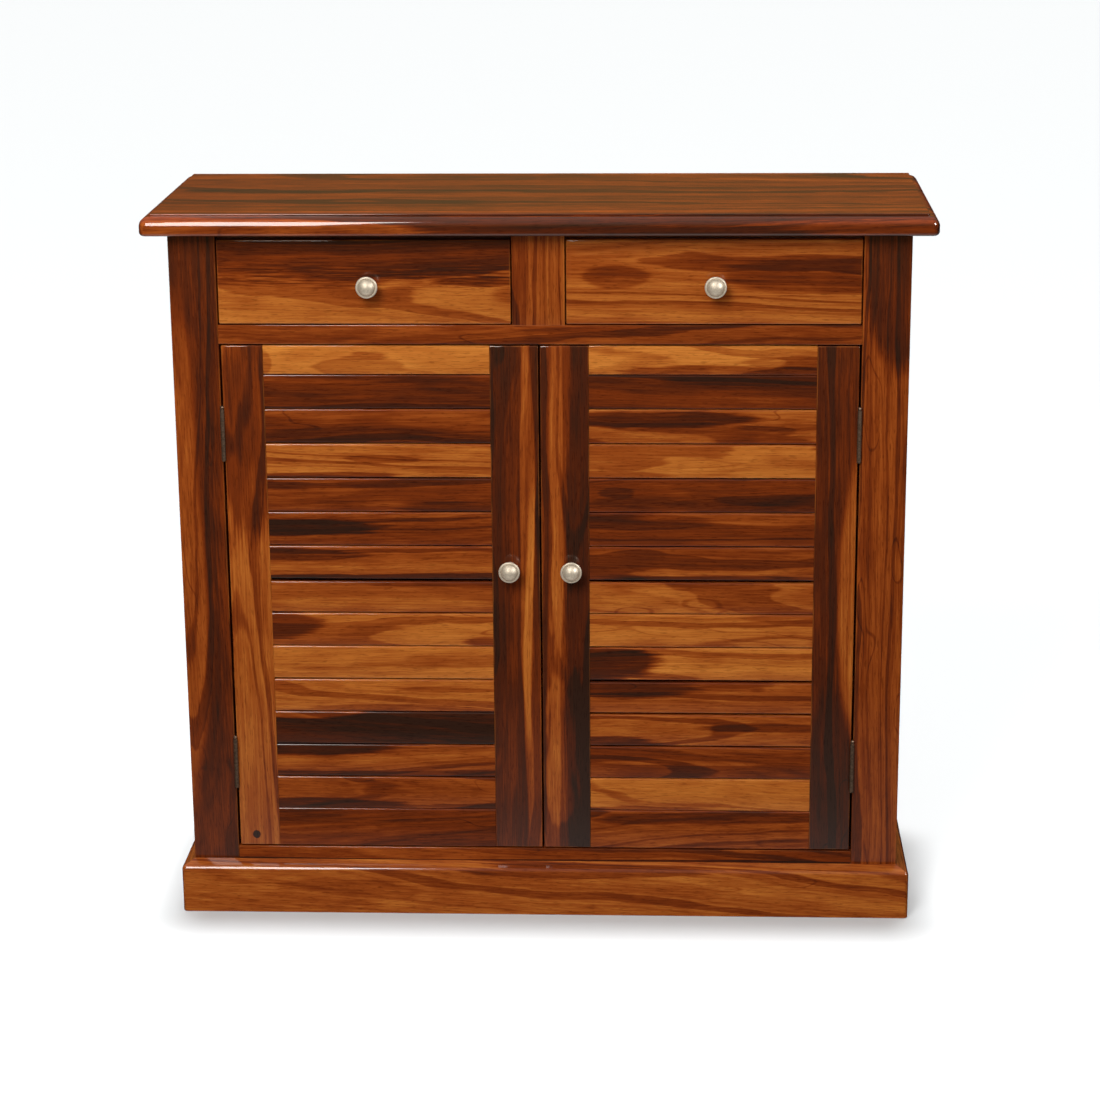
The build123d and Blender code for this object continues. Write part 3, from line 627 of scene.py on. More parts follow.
def figure_attributes(mesh, along, across, timbers, seed):
    """Writes each face corner's place in the log, tone and streaks.

    timbers lists, from the lowest up, where each stave ends across the mesh and how it is figured.
    """
    depth = 3 - along - across
    points = [vertex.co for vertex in mesh.vertices]
    low = [min(point[axis] for point in points) for axis in (X, Y, Z)]
    high = [max(point[axis] for point in points) for axis in (X, Y, Z)]
    logs = []
    start = low[across]
    for number, (end, look) in enumerate(timbers):
        chance = random.Random(f"{seed}/{number}")
        logs.append({
            "end": end,
            "middle": (start + end) / 2,
            "half": (end - start) / 2,
            "look": look,
            "shift": chance.uniform(0, 40),
            "pith": (chance.uniform(-0.06, 0.06), chance.choice((-1, 1)) * chance.uniform(0.035, 0.09)),
            "tilt": (chance.uniform(-0.03, 0.03), chance.uniform(-0.05, 0.05)),
        })
        start = end
    along_middle = (low[along] + high[along]) / 2
    along_half = (high[along] - low[along]) / 2
    depth_middle = (low[depth] + high[depth]) / 2
    written = {"grain": [], "look": [], "first_streak": [], "second_streak": []}
    for polygon in mesh.polygons:
        log = next((log for log in logs if polygon.center[across] < log["end"]), logs[-1])
        tone, *streaks = log["look"]
        for corner in polygon.loop_indices:
            point = points[mesh.loops[corner].vertex_index]
            run = point[along] - along_middle
            side = point[across] - log["middle"]
            deep = point[depth] - depth_middle
            written["grain"] += (
                run + log["shift"],
                side + log["pith"][0] + run * log["tilt"][0],
                deep + log["pith"][1] + run * log["tilt"][1],
            )
            # A wide streak's edge wavers by a smaller share of its width than a narrow one's.
            unrest = [min(MOST_UNREST, CALM_WIDTH / (streak[3] * log["half"])) for streak in streaks]
            written["look"] += (tone, *unrest)
            for name, streak in zip(("first_streak", "second_streak"), streaks):
                place_along, place_across, half_length, half_width, heart = streak
                written[name] += (
                    (run / along_half - place_along) / half_length,
                    (side / log["half"] - place_across) / half_width,
                    heart,
                )
    for name, values in written.items():
        mesh.attributes.new(name, "FLOAT_VECTOR", "CORNER").data.foreach_set("vector", values)
    mesh.materials.clear()
    mesh.materials.append(rosewood())
    return mesh


def stave_cuts(bm, across, ends):
    """Cuts a panel's faces along its glue lines."""
    normal = [0.0, 0.0, 0.0]
    normal[across] = 1.0
    for end in ends[:-1]:
        point = [0.0, 0.0, 0.0]
        point[across] = end
        everything = bm.verts[:] + bm.edges[:] + bm.faces[:]
        bmesh.ops.bisect_plane(bm, geom=everything, plane_co=point, plane_no=normal, dist=0.1 * MICRON)


def staves(low, high, tones):
    """Equal staves between two places, each with its tone and plain streaks."""
    width = (high - low) / len(tones)
    return [(low + (n + 1) * width, (tone, *PLAIN_STREAKS)) for n, tone in enumerate(tones)]


def board(name, body, low, high, along, across, look, *nodes, slot="rosewood", ease=None, tones=None):
    """A solid board, or a panel of staves where tones are given, between two corners."""
    bm = prism(rectangle(low, high, along), along, low[along], high[along])
    eased(bm, ease or settings()[0].board_ease)
    timbers = staves(low[across], high[across], tones) if tones else [(high[across], look)]
    stave_cuts(bm, across, [end for end, _ in timbers])
    mesh = smoothed(mesh_from(bm, name))
    figure_attributes(mesh, along, across, timbers, name)
    return new_piece(name, mesh, body, slot, *nodes)


def lumps(node):
    """Low and high corners of each separate solid in a CAD node, from the lowest up."""
    bm = bmesh.new()
    bm.from_mesh(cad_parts[node].data)
    bmesh.ops.remove_doubles(bm, verts=bm.verts[:], dist=MICRON)
    found = []
    waiting = set(bm.verts)
    while waiting:
        patch = [waiting.pop()]
        for vertex in patch:
            for edge in vertex.link_edges:
                other = edge.other_vert(vertex)
                if other in waiting:
                    waiting.remove(other)
                    patch.append(other)
        corners = [[pick(v.co[axis] for v in patch) for axis in (X, Y, Z)] for pick in (min, max)]
        found.append((Vector(corners[LOW]), Vector(corners[HIGH])))
    bm.free()
    return sorted(found, key=lambda corners: [round(corners[LOW][axis], 4) for axis in (Z, X, Y)])


def refinish(material, *nodes):
    """Gives CAD nodes that keep their own shape a finish."""
    for node in nodes:
        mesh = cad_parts[node].data
        mesh.materials.clear()
        mesh.materials.append(material)


# ---------------------------------------------------------------- geometry nodes


def tree_with(name, *sockets):
    """A geometry node tree with named inputs, and the graph that fills it."""
    tree = bpy.data.node_groups.new(name, "GeometryNodeTree")
    tree.interface.new_socket("Geometry", in_out="INPUT", socket_type="NodeSocketGeometry")
    for label, kind in sockets:
        tree.interface.new_socket(label, in_out="INPUT", socket_type=f"NodeSocket{kind}")
    tree.interface.new_socket("Geometry", in_out="OUTPUT", socket_type="NodeSocketGeometry")
    return tree, Graph(tree)


def close_tree(g, geometry, material):
    """Ends a tree in Realize Instances and Set Material."""
    real = g.add("GeometryNodeRealizeInstances", {"Geometry": geometry}).outputs[0]
    painted = g.add("GeometryNodeSetMaterial", {"Geometry": real, "Material": material}).outputs[0]
    g.add("NodeGroupOutput", {"Geometry": painted})


def slat_stack_tree():
    """Stacks copies of one slat upwards, each shrunk a little by chance."""
    tree, g = tree_with(
        "Slat Stack", ("Slat", "Object"), ("Count", "Int"), ("Pitch", "Float"), ("Start", "Vector"),
        ("Unevenness", "Float"), ("Seed", "Int"), ("Material", "Material"),
    )
    given = g.add("NodeGroupInput").outputs
    line = g.add("GeometryNodeMeshLine", {
        "Count": given["Count"], "Start Location": given["Start"], "Offset": g.joined(Z=given["Pitch"]),
    })
    # Most slats shrink hardly at all, and a few by nearly the whole unevenness.
    chance = g.add("FunctionNodeRandomValue", {"Seed": given["Seed"]}, data_type="FLOAT")
    shrunk = g.math("POWER", chance.outputs["Value"], 2.5)
    height = g.math("SUBTRACT", 1.0, g.math("MULTIPLY", shrunk, given["Unevenness"]))
    scale = g.joined(X=1.0, Y=1.0, Z=height)
    slat = g.add("GeometryNodeObjectInfo", {"Object": given["Slat"]}).outputs["Geometry"]
    placed = g.add("GeometryNodeInstanceOnPoints", {
        "Points": line.outputs["Mesh"], "Instance": slat, "Scale": scale,
    })
    close_tree(g, placed.outputs[0], given["Material"])
    return tree


def fastener_tree():
    """Stands one fastener on each point, along the point's facing and turned by chance."""
    tree, g = tree_with("Fasteners", ("Fastener", "Object"), ("Seed", "Int"), ("Material", "Material"))
    given = g.add("NodeGroupInput").outputs
    facing = g.add("GeometryNodeInputNamedAttribute", {"Name": "facing"}, data_type="FLOAT_VECTOR")
    aim = g.add("FunctionNodeAlignRotationToVector", {"Vector": facing.outputs[0]}, axis="Z")
    limits = {"Min": 0.0, "Max": math.pi, "Seed": given["Seed"]}
    chance = g.add("FunctionNodeRandomValue", limits, data_type="FLOAT")
    spin = g.joined(Z=chance.outputs["Value"])
    turns = {"Rotation": aim.outputs[0], "Rotate By": spin}
    turned = g.add("FunctionNodeRotateRotation", turns, rotation_space="LOCAL")
    fastener = g.add("GeometryNodeObjectInfo", {"Object": given["Fastener"]}).outputs["Geometry"]
    placed = g.add("GeometryNodeInstanceOnPoints", {
        "Points": given["Geometry"], "Instance": fastener, "Rotation": turned.outputs[0],
    })
    close_tree(g, placed.outputs[0], given["Material"])
    return tree


def grown(name, tree, mesh, values):
    """Runs a tree on a mesh and returns what it makes as a plain mesh."""
    host = bpy.data.objects.new(name, mesh)
    bpy.context.scene.collection.objects.link(host)
    modifier = host.modifiers.new(name, "NODES")
    modifier.node_group = tree
    for item in tree.interface.items_tree:
        if item.in_out == "INPUT" and item.name in values:
            modifier[item.identifier] = values[item.name]
    view = bpy.context.evaluated_depsgraph_get()
    made = bpy.data.meshes.new_from_object(host.evaluated_get(view), depsgraph=view)
    host.modifiers.remove(modifier)
    bpy.data.objects.remove(host)
    return made


def template(name, mesh):
    """A stand-alone object that a tree copies; it is removed once the tree has run."""
    pattern = bpy.data.objects.new(name, mesh)
    bpy.context.scene.collection.objects.link(pattern)
    return pattern


# ---------------------------------------------------------------- turned and fixed metal


def lathe(profile, sides):
    """Turns a profile of (radius, height) points about +Z and closes it at both ends."""
    bm = bmesh.new()
    rings = []
    for radius, height in profile:
        if radius < MICRON:
            rings.append([bm.verts.new((0, 0, height))])
            continue
        ring = arc((0, 0), radius, 0, 360, sides)[:-1]
        rings.append([bm.verts.new((x, y, height)) for x, y in ring])
    for first, second in zip(rings, rings[1:]):
        for n in range(sides):
            m = (n + 1) % sides
            corners = [first[n % len(first)], first[m % len(first)]]
            corners += [second[m % len(second)], second[n % len(second)]]
            # A pole is one point, so its faces are triangles.
            bm.faces.new(list(dict.fromkeys(corners)))
    for ring in (rings[0], rings[-1]):
        if len(ring) > 1:
            bm.faces.new(ring)
    return bm


def knob_profile(radius, projection):
    """Foot, waisted neck, flared back, rounded rim, groove and shallow dome, as shares of the size."""
    foot = 0.60 * radius
    neck = 0.36 * radius
    rim_back = 0.655 * projection
    rim_front = 0.765 * projection
    rim_middle = (rim_back + rim_front) / 2
    rim_round = (rim_front - rim_back) / 2
    dome = 0.78 * radius
    dome_base = 0.79 * projection
    profile = [(0, 0), (foot, 0), (foot, 0.045 * projection), (0.94 * foot, 0.062 * projection)]
    for step in range(9):
        share = step / 8
        bulge = 4 * share * (1 - share)
        profile.append((foot * 0.9 * (1 - share) + 0.5 * radius * share - bulge * (0.55 * radius - neck),
                        (0.07 + 0.30 * share) * projection))
    for step in range(1, 8):
        share = step / 8
        reach = 0.5 + 0.46 * math.sin(share * math.pi / 2)
        profile.append((reach * radius, (0.37 + (rim_back / projection - 0.37) * share) * projection))
    profile += arc((radius - rim_round, rim_middle), rim_round, -90, 90, 10)
    profile += [(dome * 1.035, rim_front), (dome * 1.005, rim_front - 0.012 * projection)]
    profile += [(dome, dome_base - 0.012 * projection)]
    height = projection - dome_base
    sphere = (dome**2 + height**2) / (2 * height)
    start = math.degrees(math.asin(dome / sphere))
    for step in range(13):
        angle = math.radians(start * (1 - step / 12))
        profile.append((sphere * math.sin(angle), projection - sphere * (1 - math.cos(angle))))
    return profile


def screw_mesh(head, shank, length):
    """A countersunk screw along +Z from its head's top, with a cross recess and a tapered point."""
    bm = bmesh.new()
    sides = 28
    arm, width, recess = 0.62 * head, 0.16 * head, 0.55 * head
    cross = [
        (arm, width), (width, width), (width, arm), (-width, arm), (-width, width), (-arm, width),
        (-arm, -width), (-width, -width), (-width, -arm), (width, -arm), (width, -width), (arm, -width),
    ]
    rim = [bm.verts.new((x, y, 0)) for x, y in arc((0, 0), head, 0, 360, sides)[:-1]]
    mouth = [bm.verts.new((x, y, 0)) for x, y in cross]
    floor = [bm.verts.new((0.55 * x, 0.55 * y, recess)) for x, y in cross]
    edges = []
    for ring in (rim, mouth):
        edges += [bm.edges.new((ring[n], ring[(n + 1) % len(ring)])) for n in range(len(ring))]
    bmesh.ops.triangle_fill(bm, edges=edges, use_beauty=True)
    for n in range(len(mouth)):
        m = (n + 1) % len(mouth)
        bm.faces.new((mouth[n], mouth[m], floor[m], floor[n]))
    bm.faces.new(floor)
    last = rim
    point = 0.16 * length
    for radius, height in ((shank, head - shank), (shank, length - point), (0.12 * shank, length)):
        ring = [bm.verts.new((x, y, height)) for x, y in arc((0, 0), radius, 0, 360, sides)[:-1]]
        for n in range(sides):
            m = (n + 1) % sides
            bm.faces.new((last[n], last[m], ring[m], ring[n]))
        last = ring
    bm.faces.new(last)
    return smoothed(mesh_from(bm, "screw_pattern"), 40)


def fasten(name, body, node, head, shank, material, slot):
    """Replaces a CAD node of screws by cross-recess screws at the same places."""
    points = []
    facings = []
    length = 0.0
    for low, high in lumps(node):
        size = high - low
        axis = max((X, Y, Z), key=lambda n: size[n])
        way = head_way(node, low, high, axis)
        middle = (low + high) / 2
        middle[axis] = high[axis] if way > 0 else low[axis]
        points.append(middle)
        facing = Vector((0, 0, 0))
        facing[axis] = -way
        facings.append(facing)
        length = max(length, size[axis])
    mesh = bpy.data.meshes.new(name + "_places")
    mesh.from_pydata(points, [], [])
    mesh.attributes.new("facing", "FLOAT_VECTOR", "POINT").data.foreach_set(
        "vector", [part for facing in facings for part in facing]
    )
    pattern = template(name + "_pattern", screw_mesh(head, shank, length))
    tree = bpy.data.node_groups.get("Fasteners") or fastener_tree()
    made = grown(name, tree, mesh, {"Fastener": pattern, "Seed": SCREW_SEED, "Material": material})
    bpy.data.objects.remove(pattern)
    return new_piece(name, smoothed(made, 40), body, slot, node)


def head_way(node, low, high, axis):
    """Which way along its axis a screw's head lies: towards the end with the wider ring of points."""
    nearby = 10 * MICRON
    side = X if axis != X else Y
    middle = (low + high) / 2
    spread = {-1: 0.0, 1: 0.0}
    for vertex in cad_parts[node].data.vertices:
        place = vertex.co
        if all(low[n] - nearby <= place[n] <= high[n] + nearby for n in (X, Y, Z)):
            way = 1 if place[axis] > middle[axis] else -1
            spread[way] = max(spread[way], abs(place[side] - middle[side]))
    return 1 if spread[1] > spread[-1] else -1


# ---------------------------------------------------------------- operators: the top and the plinth


def front_path(inset, half, front, back, corner, steps=6):
    """Plan of the top at one inset: from the back left round the two front corners to the back right."""
    reach = half - inset
    edge = front + inset
    radius = max(corner - inset, 0.25 * corner)
    path = [(-reach, back)]
    path += arc((-reach + radius, edge + radius), radius, 180, 270, steps)
    path += arc((reach - radius, edge + radius), radius, 270, 360, steps)
    path.append((reach, back))
    return path


class CABINET_OT_top(bpy.types.Operator):
    """Build the top: a raised field over a half-round edge on the front and both sides"""

    bl_idname = "cabinet.top"
    bl_label = "Top"

    def execute(self, context):
        sizes = settings()[0]
        low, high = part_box("top_panel")
        under = 4.5 * MM
        nosing = sizes.top_round
        ledge = high.z - sizes.top_step
        fillet = 0.8 * MM
        # Inset and height of each ring, from the flat underside out round the edge and up to the field.
        profile = [(0.30 * (high.y - low.y), low.z)]
        profile += [(under - u, low.z + under - v) for u, v in arc((0, 0), under, 90, 0, 6)]
        profile += [(nosing - u, ledge - nosing + v) for u, v in arc((0, 0), nosing, 0, 90, 14)]
        profile += [(nosing + fillet - u, high.z - fillet + v) for u, v in arc((0, 0), fillet, 0, 90, 3)]
        bm = bmesh.new()
        rings = []
        for inset, height in profile:
            plan = front_path(inset, high.x, low.y, high.y, sizes.top_corner)
            rings.append([(x, y, height) for x, y in plan])
        made = swept(bm, rings)
        bm.faces.new(made[-1])
        bm.faces.new(made[0])
        bm.faces.new([ring[0] for ring in made] + [ring[-1] for ring in reversed(made)])
        cuts = staves(low.y, high.y, TOP_STAVES)
        # The front stave's two streaks are painted light and shade on the half-round edge, not heartwood.
        cuts[0] = (cuts[0][0], (TOP_STAVES[0], *TOP_EDGE_PAINTED_LIGHT_AND_SHADE))
        stave_cuts(bm, Y, [end for end, _ in cuts])
        mesh = smoothed(mesh_from(bm, "top_board"), 38)
        figure_attributes(mesh, X, Y, cuts, "top")
        new_piece("top_board", mesh, "cabinet", "rosewood", "top_panel")
        return {"FINISHED"}


def plinth_profile(thickness, height, radius):
    """Section as (out from the case, up): foot, face, round shoulder and a top that slopes to the case."""
    ease = 0.8 * MM
    steepness = 66.0
    slope = math.radians(90 - steepness)
    shoulder = thickness - radius
    shoulder_end = shoulder + radius * math.sin(slope)
    middle = height - shoulder_end * math.tan(slope) - radius * math.cos(slope)
    profile = [(0, 0), (thickness - ease, 0), (thickness, ease)]
    profile += arc((shoulder, middle), radius, 0, steepness, 10)
    return profile + [(0, height)]


class CABINET_OT_plinth(bpy.types.Operator):
    """Build the plinth: a moulded front run mitred into two side runs"""

    bl_idname = "cabinet.plinth"
    bl_label = "Plinth"

    def execute(self, context):
        sizes = settings()[0]
        front_low, front_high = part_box("plinth_front")
        case_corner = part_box("left_front_post")[LOW]
        case_half = -case_corner.x
        case_front = case_corner.y
        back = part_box("plinth_left")[HIGH].y
        thickness = case_front - front_low.y
        profile = plinth_profile(thickness, front_high.z, sizes.plinth_round)
        joint = 0.12 * MM
        least_radius = 1.2 * MM

        def corner_plan(out, hand):
            """Points from the side run's line to the front run's line round one corner."""
            radius = max(out - thickness + sizes.plinth_corner, least_radius)
            centre = (case_half + out - radius, case_front - out + radius)
            points = arc(centre, radius, 0, -90, 8)
            return [(hand * x, y) for x, y in points]

        rings = []
        for out, z in profile:
            left = corner_plan(out, -1)[4:]
            right = list(reversed(corner_plan(out, 1)[4:]))
            rings.append([(x + joint * (1 if x < 0 else -1), y, z) for x, y in left + right])
        self.finish_run("plinth_front", rings, X)

        for side, hand in HANDS:
            rings = []
            for out, z in profile:
                points = corner_plan(out, hand)[:5]
                ring = [(hand * (case_half + out), back)] + points
                rings.append([(x, y + (joint if y < back else 0), z) for x, y in ring])
            self.finish_run(f"plinth_{side}", rings, Y)
        return {"FINISHED"}

    def finish_run(self, node, rings, along):
        bm = bmesh.new()
        made = swept(bm, rings)
        # The back of the run closes it from its top edge to its foot.
        for n in range(len(made[0]) - 1):
            bm.faces.new((made[-1][n], made[-1][n + 1], made[0][n + 1], made[0][n]))
        bm.faces.new([ring[0] for ring in made])
        bm.faces.new([ring[-1] for ring in made])
        mesh = smoothed(mesh_from(bm, node + "_run"), 38)
        figure_attributes(mesh, along, Z, [(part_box(node)[HIGH].z, FIGURES[node])], node)
        new_piece(node + "_run", mesh, "cabinet", "rosewood", node)


# ---------------------------------------------------------------- operators: carcass and frame


class CABINET_OT_carcass(bpy.types.Operator):
    """Build the side panels and shelves from glued staves, and finish the hidden boards"""

    bl_idname = "cabinet.carcass"
    bl_label = "Carcass"

    def execute(self, context):
        back_low, back_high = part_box("back_panel")
        for side, hand in HANDS:
            low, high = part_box(f"{side}_side_panel")
            inner, outer = (high.x, low.x) if hand < 0 else (low.x, high.x)
            outline = [
                (outer, low.y), (outer, high.y), (hand * back_high.x, high.y),
                (hand * back_high.x, back_low.y), (inner, back_low.y), (inner, low.y),
            ]
            bm = eased(prism(outline, Z, low.z, high.z), 0.6 * MM)
            cuts = staves(low.y, high.y, SIDE_STAVES)
            stave_cuts(bm, Y, [end for end, _ in cuts])
            mesh = smoothed(mesh_from(bm, f"{side}_side_board"))
            figure_attributes(mesh, Z, Y, cuts, side + "_side")
            new_piece(f"{side}_side_board", mesh, "cabinet", "rosewood", f"{side}_side_panel")
        for shelf in ("lower_shelf", "upper_shelf"):
            low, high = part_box(shelf)
            board(shelf + "_board", "cabinet", low, high, X, Y, None, shelf,
                  slot="inner_wood", ease=1.6 * MM, tones=SHELF_STAVES)
        along_width = secondary_wood("inner_wood_wide", (0, 0, 0), 0.52, 0.25)
        along_depth = secondary_wood("inner_wood_deep", (0, 0, math.pi / 2), 0.50, 0.2)
        upright = secondary_wood("plywood_face", (0, math.pi / 2, 0), 0.56, 0.0)
        refinish(along_width, "floor_panel", "front_stretcher", "rear_stretcher", "rear_foot_rail")
        refinish(along_depth, "drawer_divider", "outer_drawer_runners", "centre_drawer_runners")
        refinish(upright, "back_panel")
        return {"FINISHED"}


class CABINET_OT_face_frame(bpy.types.Operator):
    """Build the posts, the stile between the drawers and the two rails"""

    bl_idname = "cabinet.face_frame"
    bl_label = "Face Frame"

    def execute(self, context):
        for side in SIDES:
            low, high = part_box(f"{side}_front_post")
            board(f"{side}_post", "cabinet", low, high, Z, X, FIGURES[f"{side}_post"], f"{side}_front_post")
        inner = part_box("left_front_post")[HIGH].x
        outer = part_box("right_front_post")[LOW].x
        # The bottom rail's figure carries a painted shadow line along its lower edge, just above the plinth.
        for node in ("drawer_rail", "bottom_rail"):
            low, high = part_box(node)
            low.x, high.x = inner, outer
            board(node + "_board", "cabinet", low, high, X, Z, FIGURES[node], node, ease=0.5 * MM)
        low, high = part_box("centre_stile")
        look = FIGURES["centre_stile"]
        board("centre_stile_board", "cabinet", low, high, Z, X, look, "centre_stile", ease=0.4 * MM)
        return {"FINISHED"}


# ---------------------------------------------------------------- operators: drawers


class CABINET_OT_drawers(bpy.types.Operator):
    """Build both drawers: figured fronts on plain boxes"""

    bl_idname = "cabinet.drawers"
    bl_label = "Drawers"

    def execute(self, context):
        sizes = settings()[0]
        ply = secondary_wood("plywood_bottom", (0, 0, 0), 0.60, 0.1)
        box_look = (0.62, *PLAIN_STREAKS)
        for side in SIDES:
            body = f"{side}_drawer"
            low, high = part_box(f"{body}_front")
            board(f"{body}_face", body, low, high, X, Z, FIGURES[body], f"{body}_front",
                  ease=1.3 * sizes.board_ease)
            for number, (low, high) in enumerate(lumps(f"{body}_sides"), 1):
                nodes = (f"{body}_sides",) if number == 1 else ()
                board(f"{body}_side_{number}", body, low, high, Y, Z, box_look, *nodes,
                      slot="inner_wood", ease=0.9 * MM)
            low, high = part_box(f"{body}_back")
            board(f"{body}_back_board", body, low, high, X, Z, box_look, f"{body}_back",
                  slot="inner_wood", ease=0.9 * MM)
            refinish(ply, f"{body}_bottom")
        return {"FINISHED"}


# ---------------------------------------------------------------- operators: doors


def slat_outline(front, back, bottom, top, upper_round):
    """A slat's section as (depth, height): well rounded in front above, eased below, square behind."""
    lower_ease = 0.8 * MM
    behind = 0.5 * MM
    outline = arc((front + lower_ease, bottom + lower_ease), lower_ease, 270, 180, 4)
    outline += arc((front + upper_round, top - upper_round), upper_round, 180, 90, 8)
    outline += arc((back - behind, top - behind), behind, 90, 0, 2)
    outline += arc((back - behind, bottom + behind), behind, 0, -90, 2)
    return outline


class CABINET_OT_doors(bpy.types.Operator):
    """Build both doors' stiles and rails"""

    bl_idname = "cabinet.doors"
    bl_label = "Door Frames"

    def execute(self, context):
        sizes = settings()[0]
        for side in SIDES:
            body = f"{side}_door"
            looks = DOOR_BOARDS[side]
            for stile in ("hinge_stile", "meeting_stile"):
                low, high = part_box(f"{body}_{stile}")
                board(f"{body}_{stile}_board", body, low, high, Z, X, FIGURES[f"{side}_{stile}"],
                      f"{body}_{stile}")
            rail_x = door_opening(body)
            rail = f"{body}_top_rail"
            low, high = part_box(rail)
            low.x, high.x = rail_x
            board(f"{rail}_board", body, low, high, X, Z, looks[0], rail, ease=0.5 * MM)
            low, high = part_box(f"{body}_bottom_rail")
            outline = slat_outline(low.y, high.y, low.z, high.z, sizes.slat_round)
            mesh = smoothed(mesh_from(prism(outline, X, *rail_x), f"{body}_bottom_rail_board"))
            figure_attributes(mesh, X, Z, [(high.z, looks[-1])], body + "_bottom")
            new_piece(f"{body}_bottom_rail_board", mesh, body, "rosewood", f"{body}_bottom_rail")
        return {"FINISHED"}


def door_opening(body):
    """Where a door's slats show between its stiles, from left to right."""
    boxes = [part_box(f"{body}_{stile}") for stile in ("hinge_stile", "meeting_stile")]
    boxes.sort(key=lambda corners: corners[LOW].x)
    return boxes[0][HIGH].x, boxes[1][LOW].x


class CABINET_OT_slats(bpy.types.Operator):
    """Build the slats of both doors"""

    bl_idname = "cabinet.slats"
    bl_label = "Slats"

    def execute(self, context):
        sizes = settings()[0]
        tree = slat_stack_tree()
        for side in SIDES:
            body = f"{side}_door"
            solids = lumps(f"{body}_slats")
            low, high = solids[0]
            pitch = (solids[-1][LOW].z - low.z) / (len(solids) - 1)
            outline = slat_outline(low.y, high.y, 0.0, high.z - low.z, sizes.slat_round)
            slat = mesh_from(prism(outline, X, *door_opening(body)), "slat")
            pattern = template(f"{body}_slat_pattern", slat)
            values = {
                "Slat": pattern, "Count": len(solids), "Pitch": pitch, "Start": (0.0, 0.0, low.z),
                "Unevenness": sizes.slat_unevenness, "Seed": SLAT_SEEDS[side], "Material": rosewood(),
            }
            name = f"{body}_slat_set"
            mesh = grown(name, tree, bpy.data.meshes.new(name), values)
            bpy.data.objects.remove(pattern)
            smoothed(mesh)
            boards = DOOR_BOARDS[side][1:-1]
            if len(boards) != len(solids):
                raise RuntimeError(f"{body} has {len(solids)} slats and {len(boards)} figured boards")
            timbers = [(low.z + (n + 1) * pitch, look) for n, look in enumerate(reversed(boards))]
            figure_attributes(mesh, X, Z, timbers, body + "_slats")
            new_piece(name, mesh, body, "rosewood", f"{body}_slats")
        return {"FINISHED"}


# ---------------------------------------------------------------- operators: metalwork


class CABINET_OT_knobs(bpy.types.Operator):
    """Turn the four knobs and finish their bolts"""

    bl_idname = "cabinet.knobs"
    bl_label = "Knobs"

    def execute(self, context):
        sizes = settings()[0]
        for body in ("left_door", "right_door", "left_drawer", "right_drawer"):
            low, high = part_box(f"{body}_knob")
            radius = (high.x - low.x) / 2
            bm = lathe(knob_profile(radius, high.y - low.y), sizes.knob_sides)
            turn = Matrix.Rotation(math.pi / 2, 4, "X")
            place = Matrix.Translation(((low.x + high.x) / 2, high.y, (low.z + high.z) / 2))
            bmesh.ops.transform(bm, matrix=place @ turn, verts=bm.verts[:])
            mesh = smoothed(mesh_from(bm, f"{body}_turned_knob"), 40)
            mesh.materials.append(satin_pewter())
            new_piece(f"{body}_turned_knob", mesh, body, "knob_nickel", f"{body}_knob")
            refinish(plated_steel(), f"{body}_knob_bolt")
        return {"FINISHED"}


class CABINET_OT_hinges(bpy.types.Operator):
    """Finish the butt hinges and their pins"""

    bl_idname = "cabinet.hinges"
    bl_label = "Hinges"

    def execute(self, context):
        leaves = [f"{owner}_hinge_leaves" for owner in ("frame", "left_door", "right_door")]
        refinish(antique_bronze(), "hinge_pins", *leaves)
        return {"FINISHED"}


class CABINET_OT_screws(bpy.types.Operator):
    """Drive the carcass and hinge screws"""

    bl_idname = "cabinet.screws"
    bl_label = "Screws"

    def execute(self, context):
        head, shank = 3.6 * MM, 1.75 * MM
        fasten("carcass_screws", "cabinet", "case_screws", head, shank, plated_steel(), "screw_steel")
        head, shank = 3 * MM, 1.5 * MM
        rows = [("post_hinge_screws", "cabinet", "frame_hinge_screws")]
        for door in ("left_door", "right_door"):
            rows.append((f"{door}_leaf_screws", door, f"{door}_hinge_screws"))
        for name, body, node in rows:
            fasten(name, body, node, head, shank, antique_bronze(), "hinge_bronze")
        return {"FINISHED"}


class CABINET_OT_fittings(bpy.types.Operator):
    """Finish the catches, strike plates and shelf pins"""

    bl_idname = "cabinet.fittings"
    bl_label = "Fittings"

    def execute(self, context):
        refinish(moulded_plastic(), "magnetic_catches")
        refinish(plated_steel(), "shelf_pins", "left_door_strike_plate", "right_door_strike_plate")
        return {"FINISHED"}


# ---------------------------------------------------------------- operator: the studio


def area_light(name, place, target, size, power, tint=(1.0, 1.0, 1.0)):
    """A rectangular soft box at a place, facing a target, of a width and height."""
    light = bpy.data.lights.new(name, "AREA")
    light.shape = "RECTANGLE"
    light.size, light.size_y = size
    light.energy = power
    light.color = tint
    lamp = bpy.data.objects.new(name, light)
    lamp.location = place
    lamp.rotation_euler = (Vector(target) - Vector(place)).to_track_quat("-Z", "Y").to_euler()
    bpy.context.scene.collection.objects.link(lamp)
    return lamp


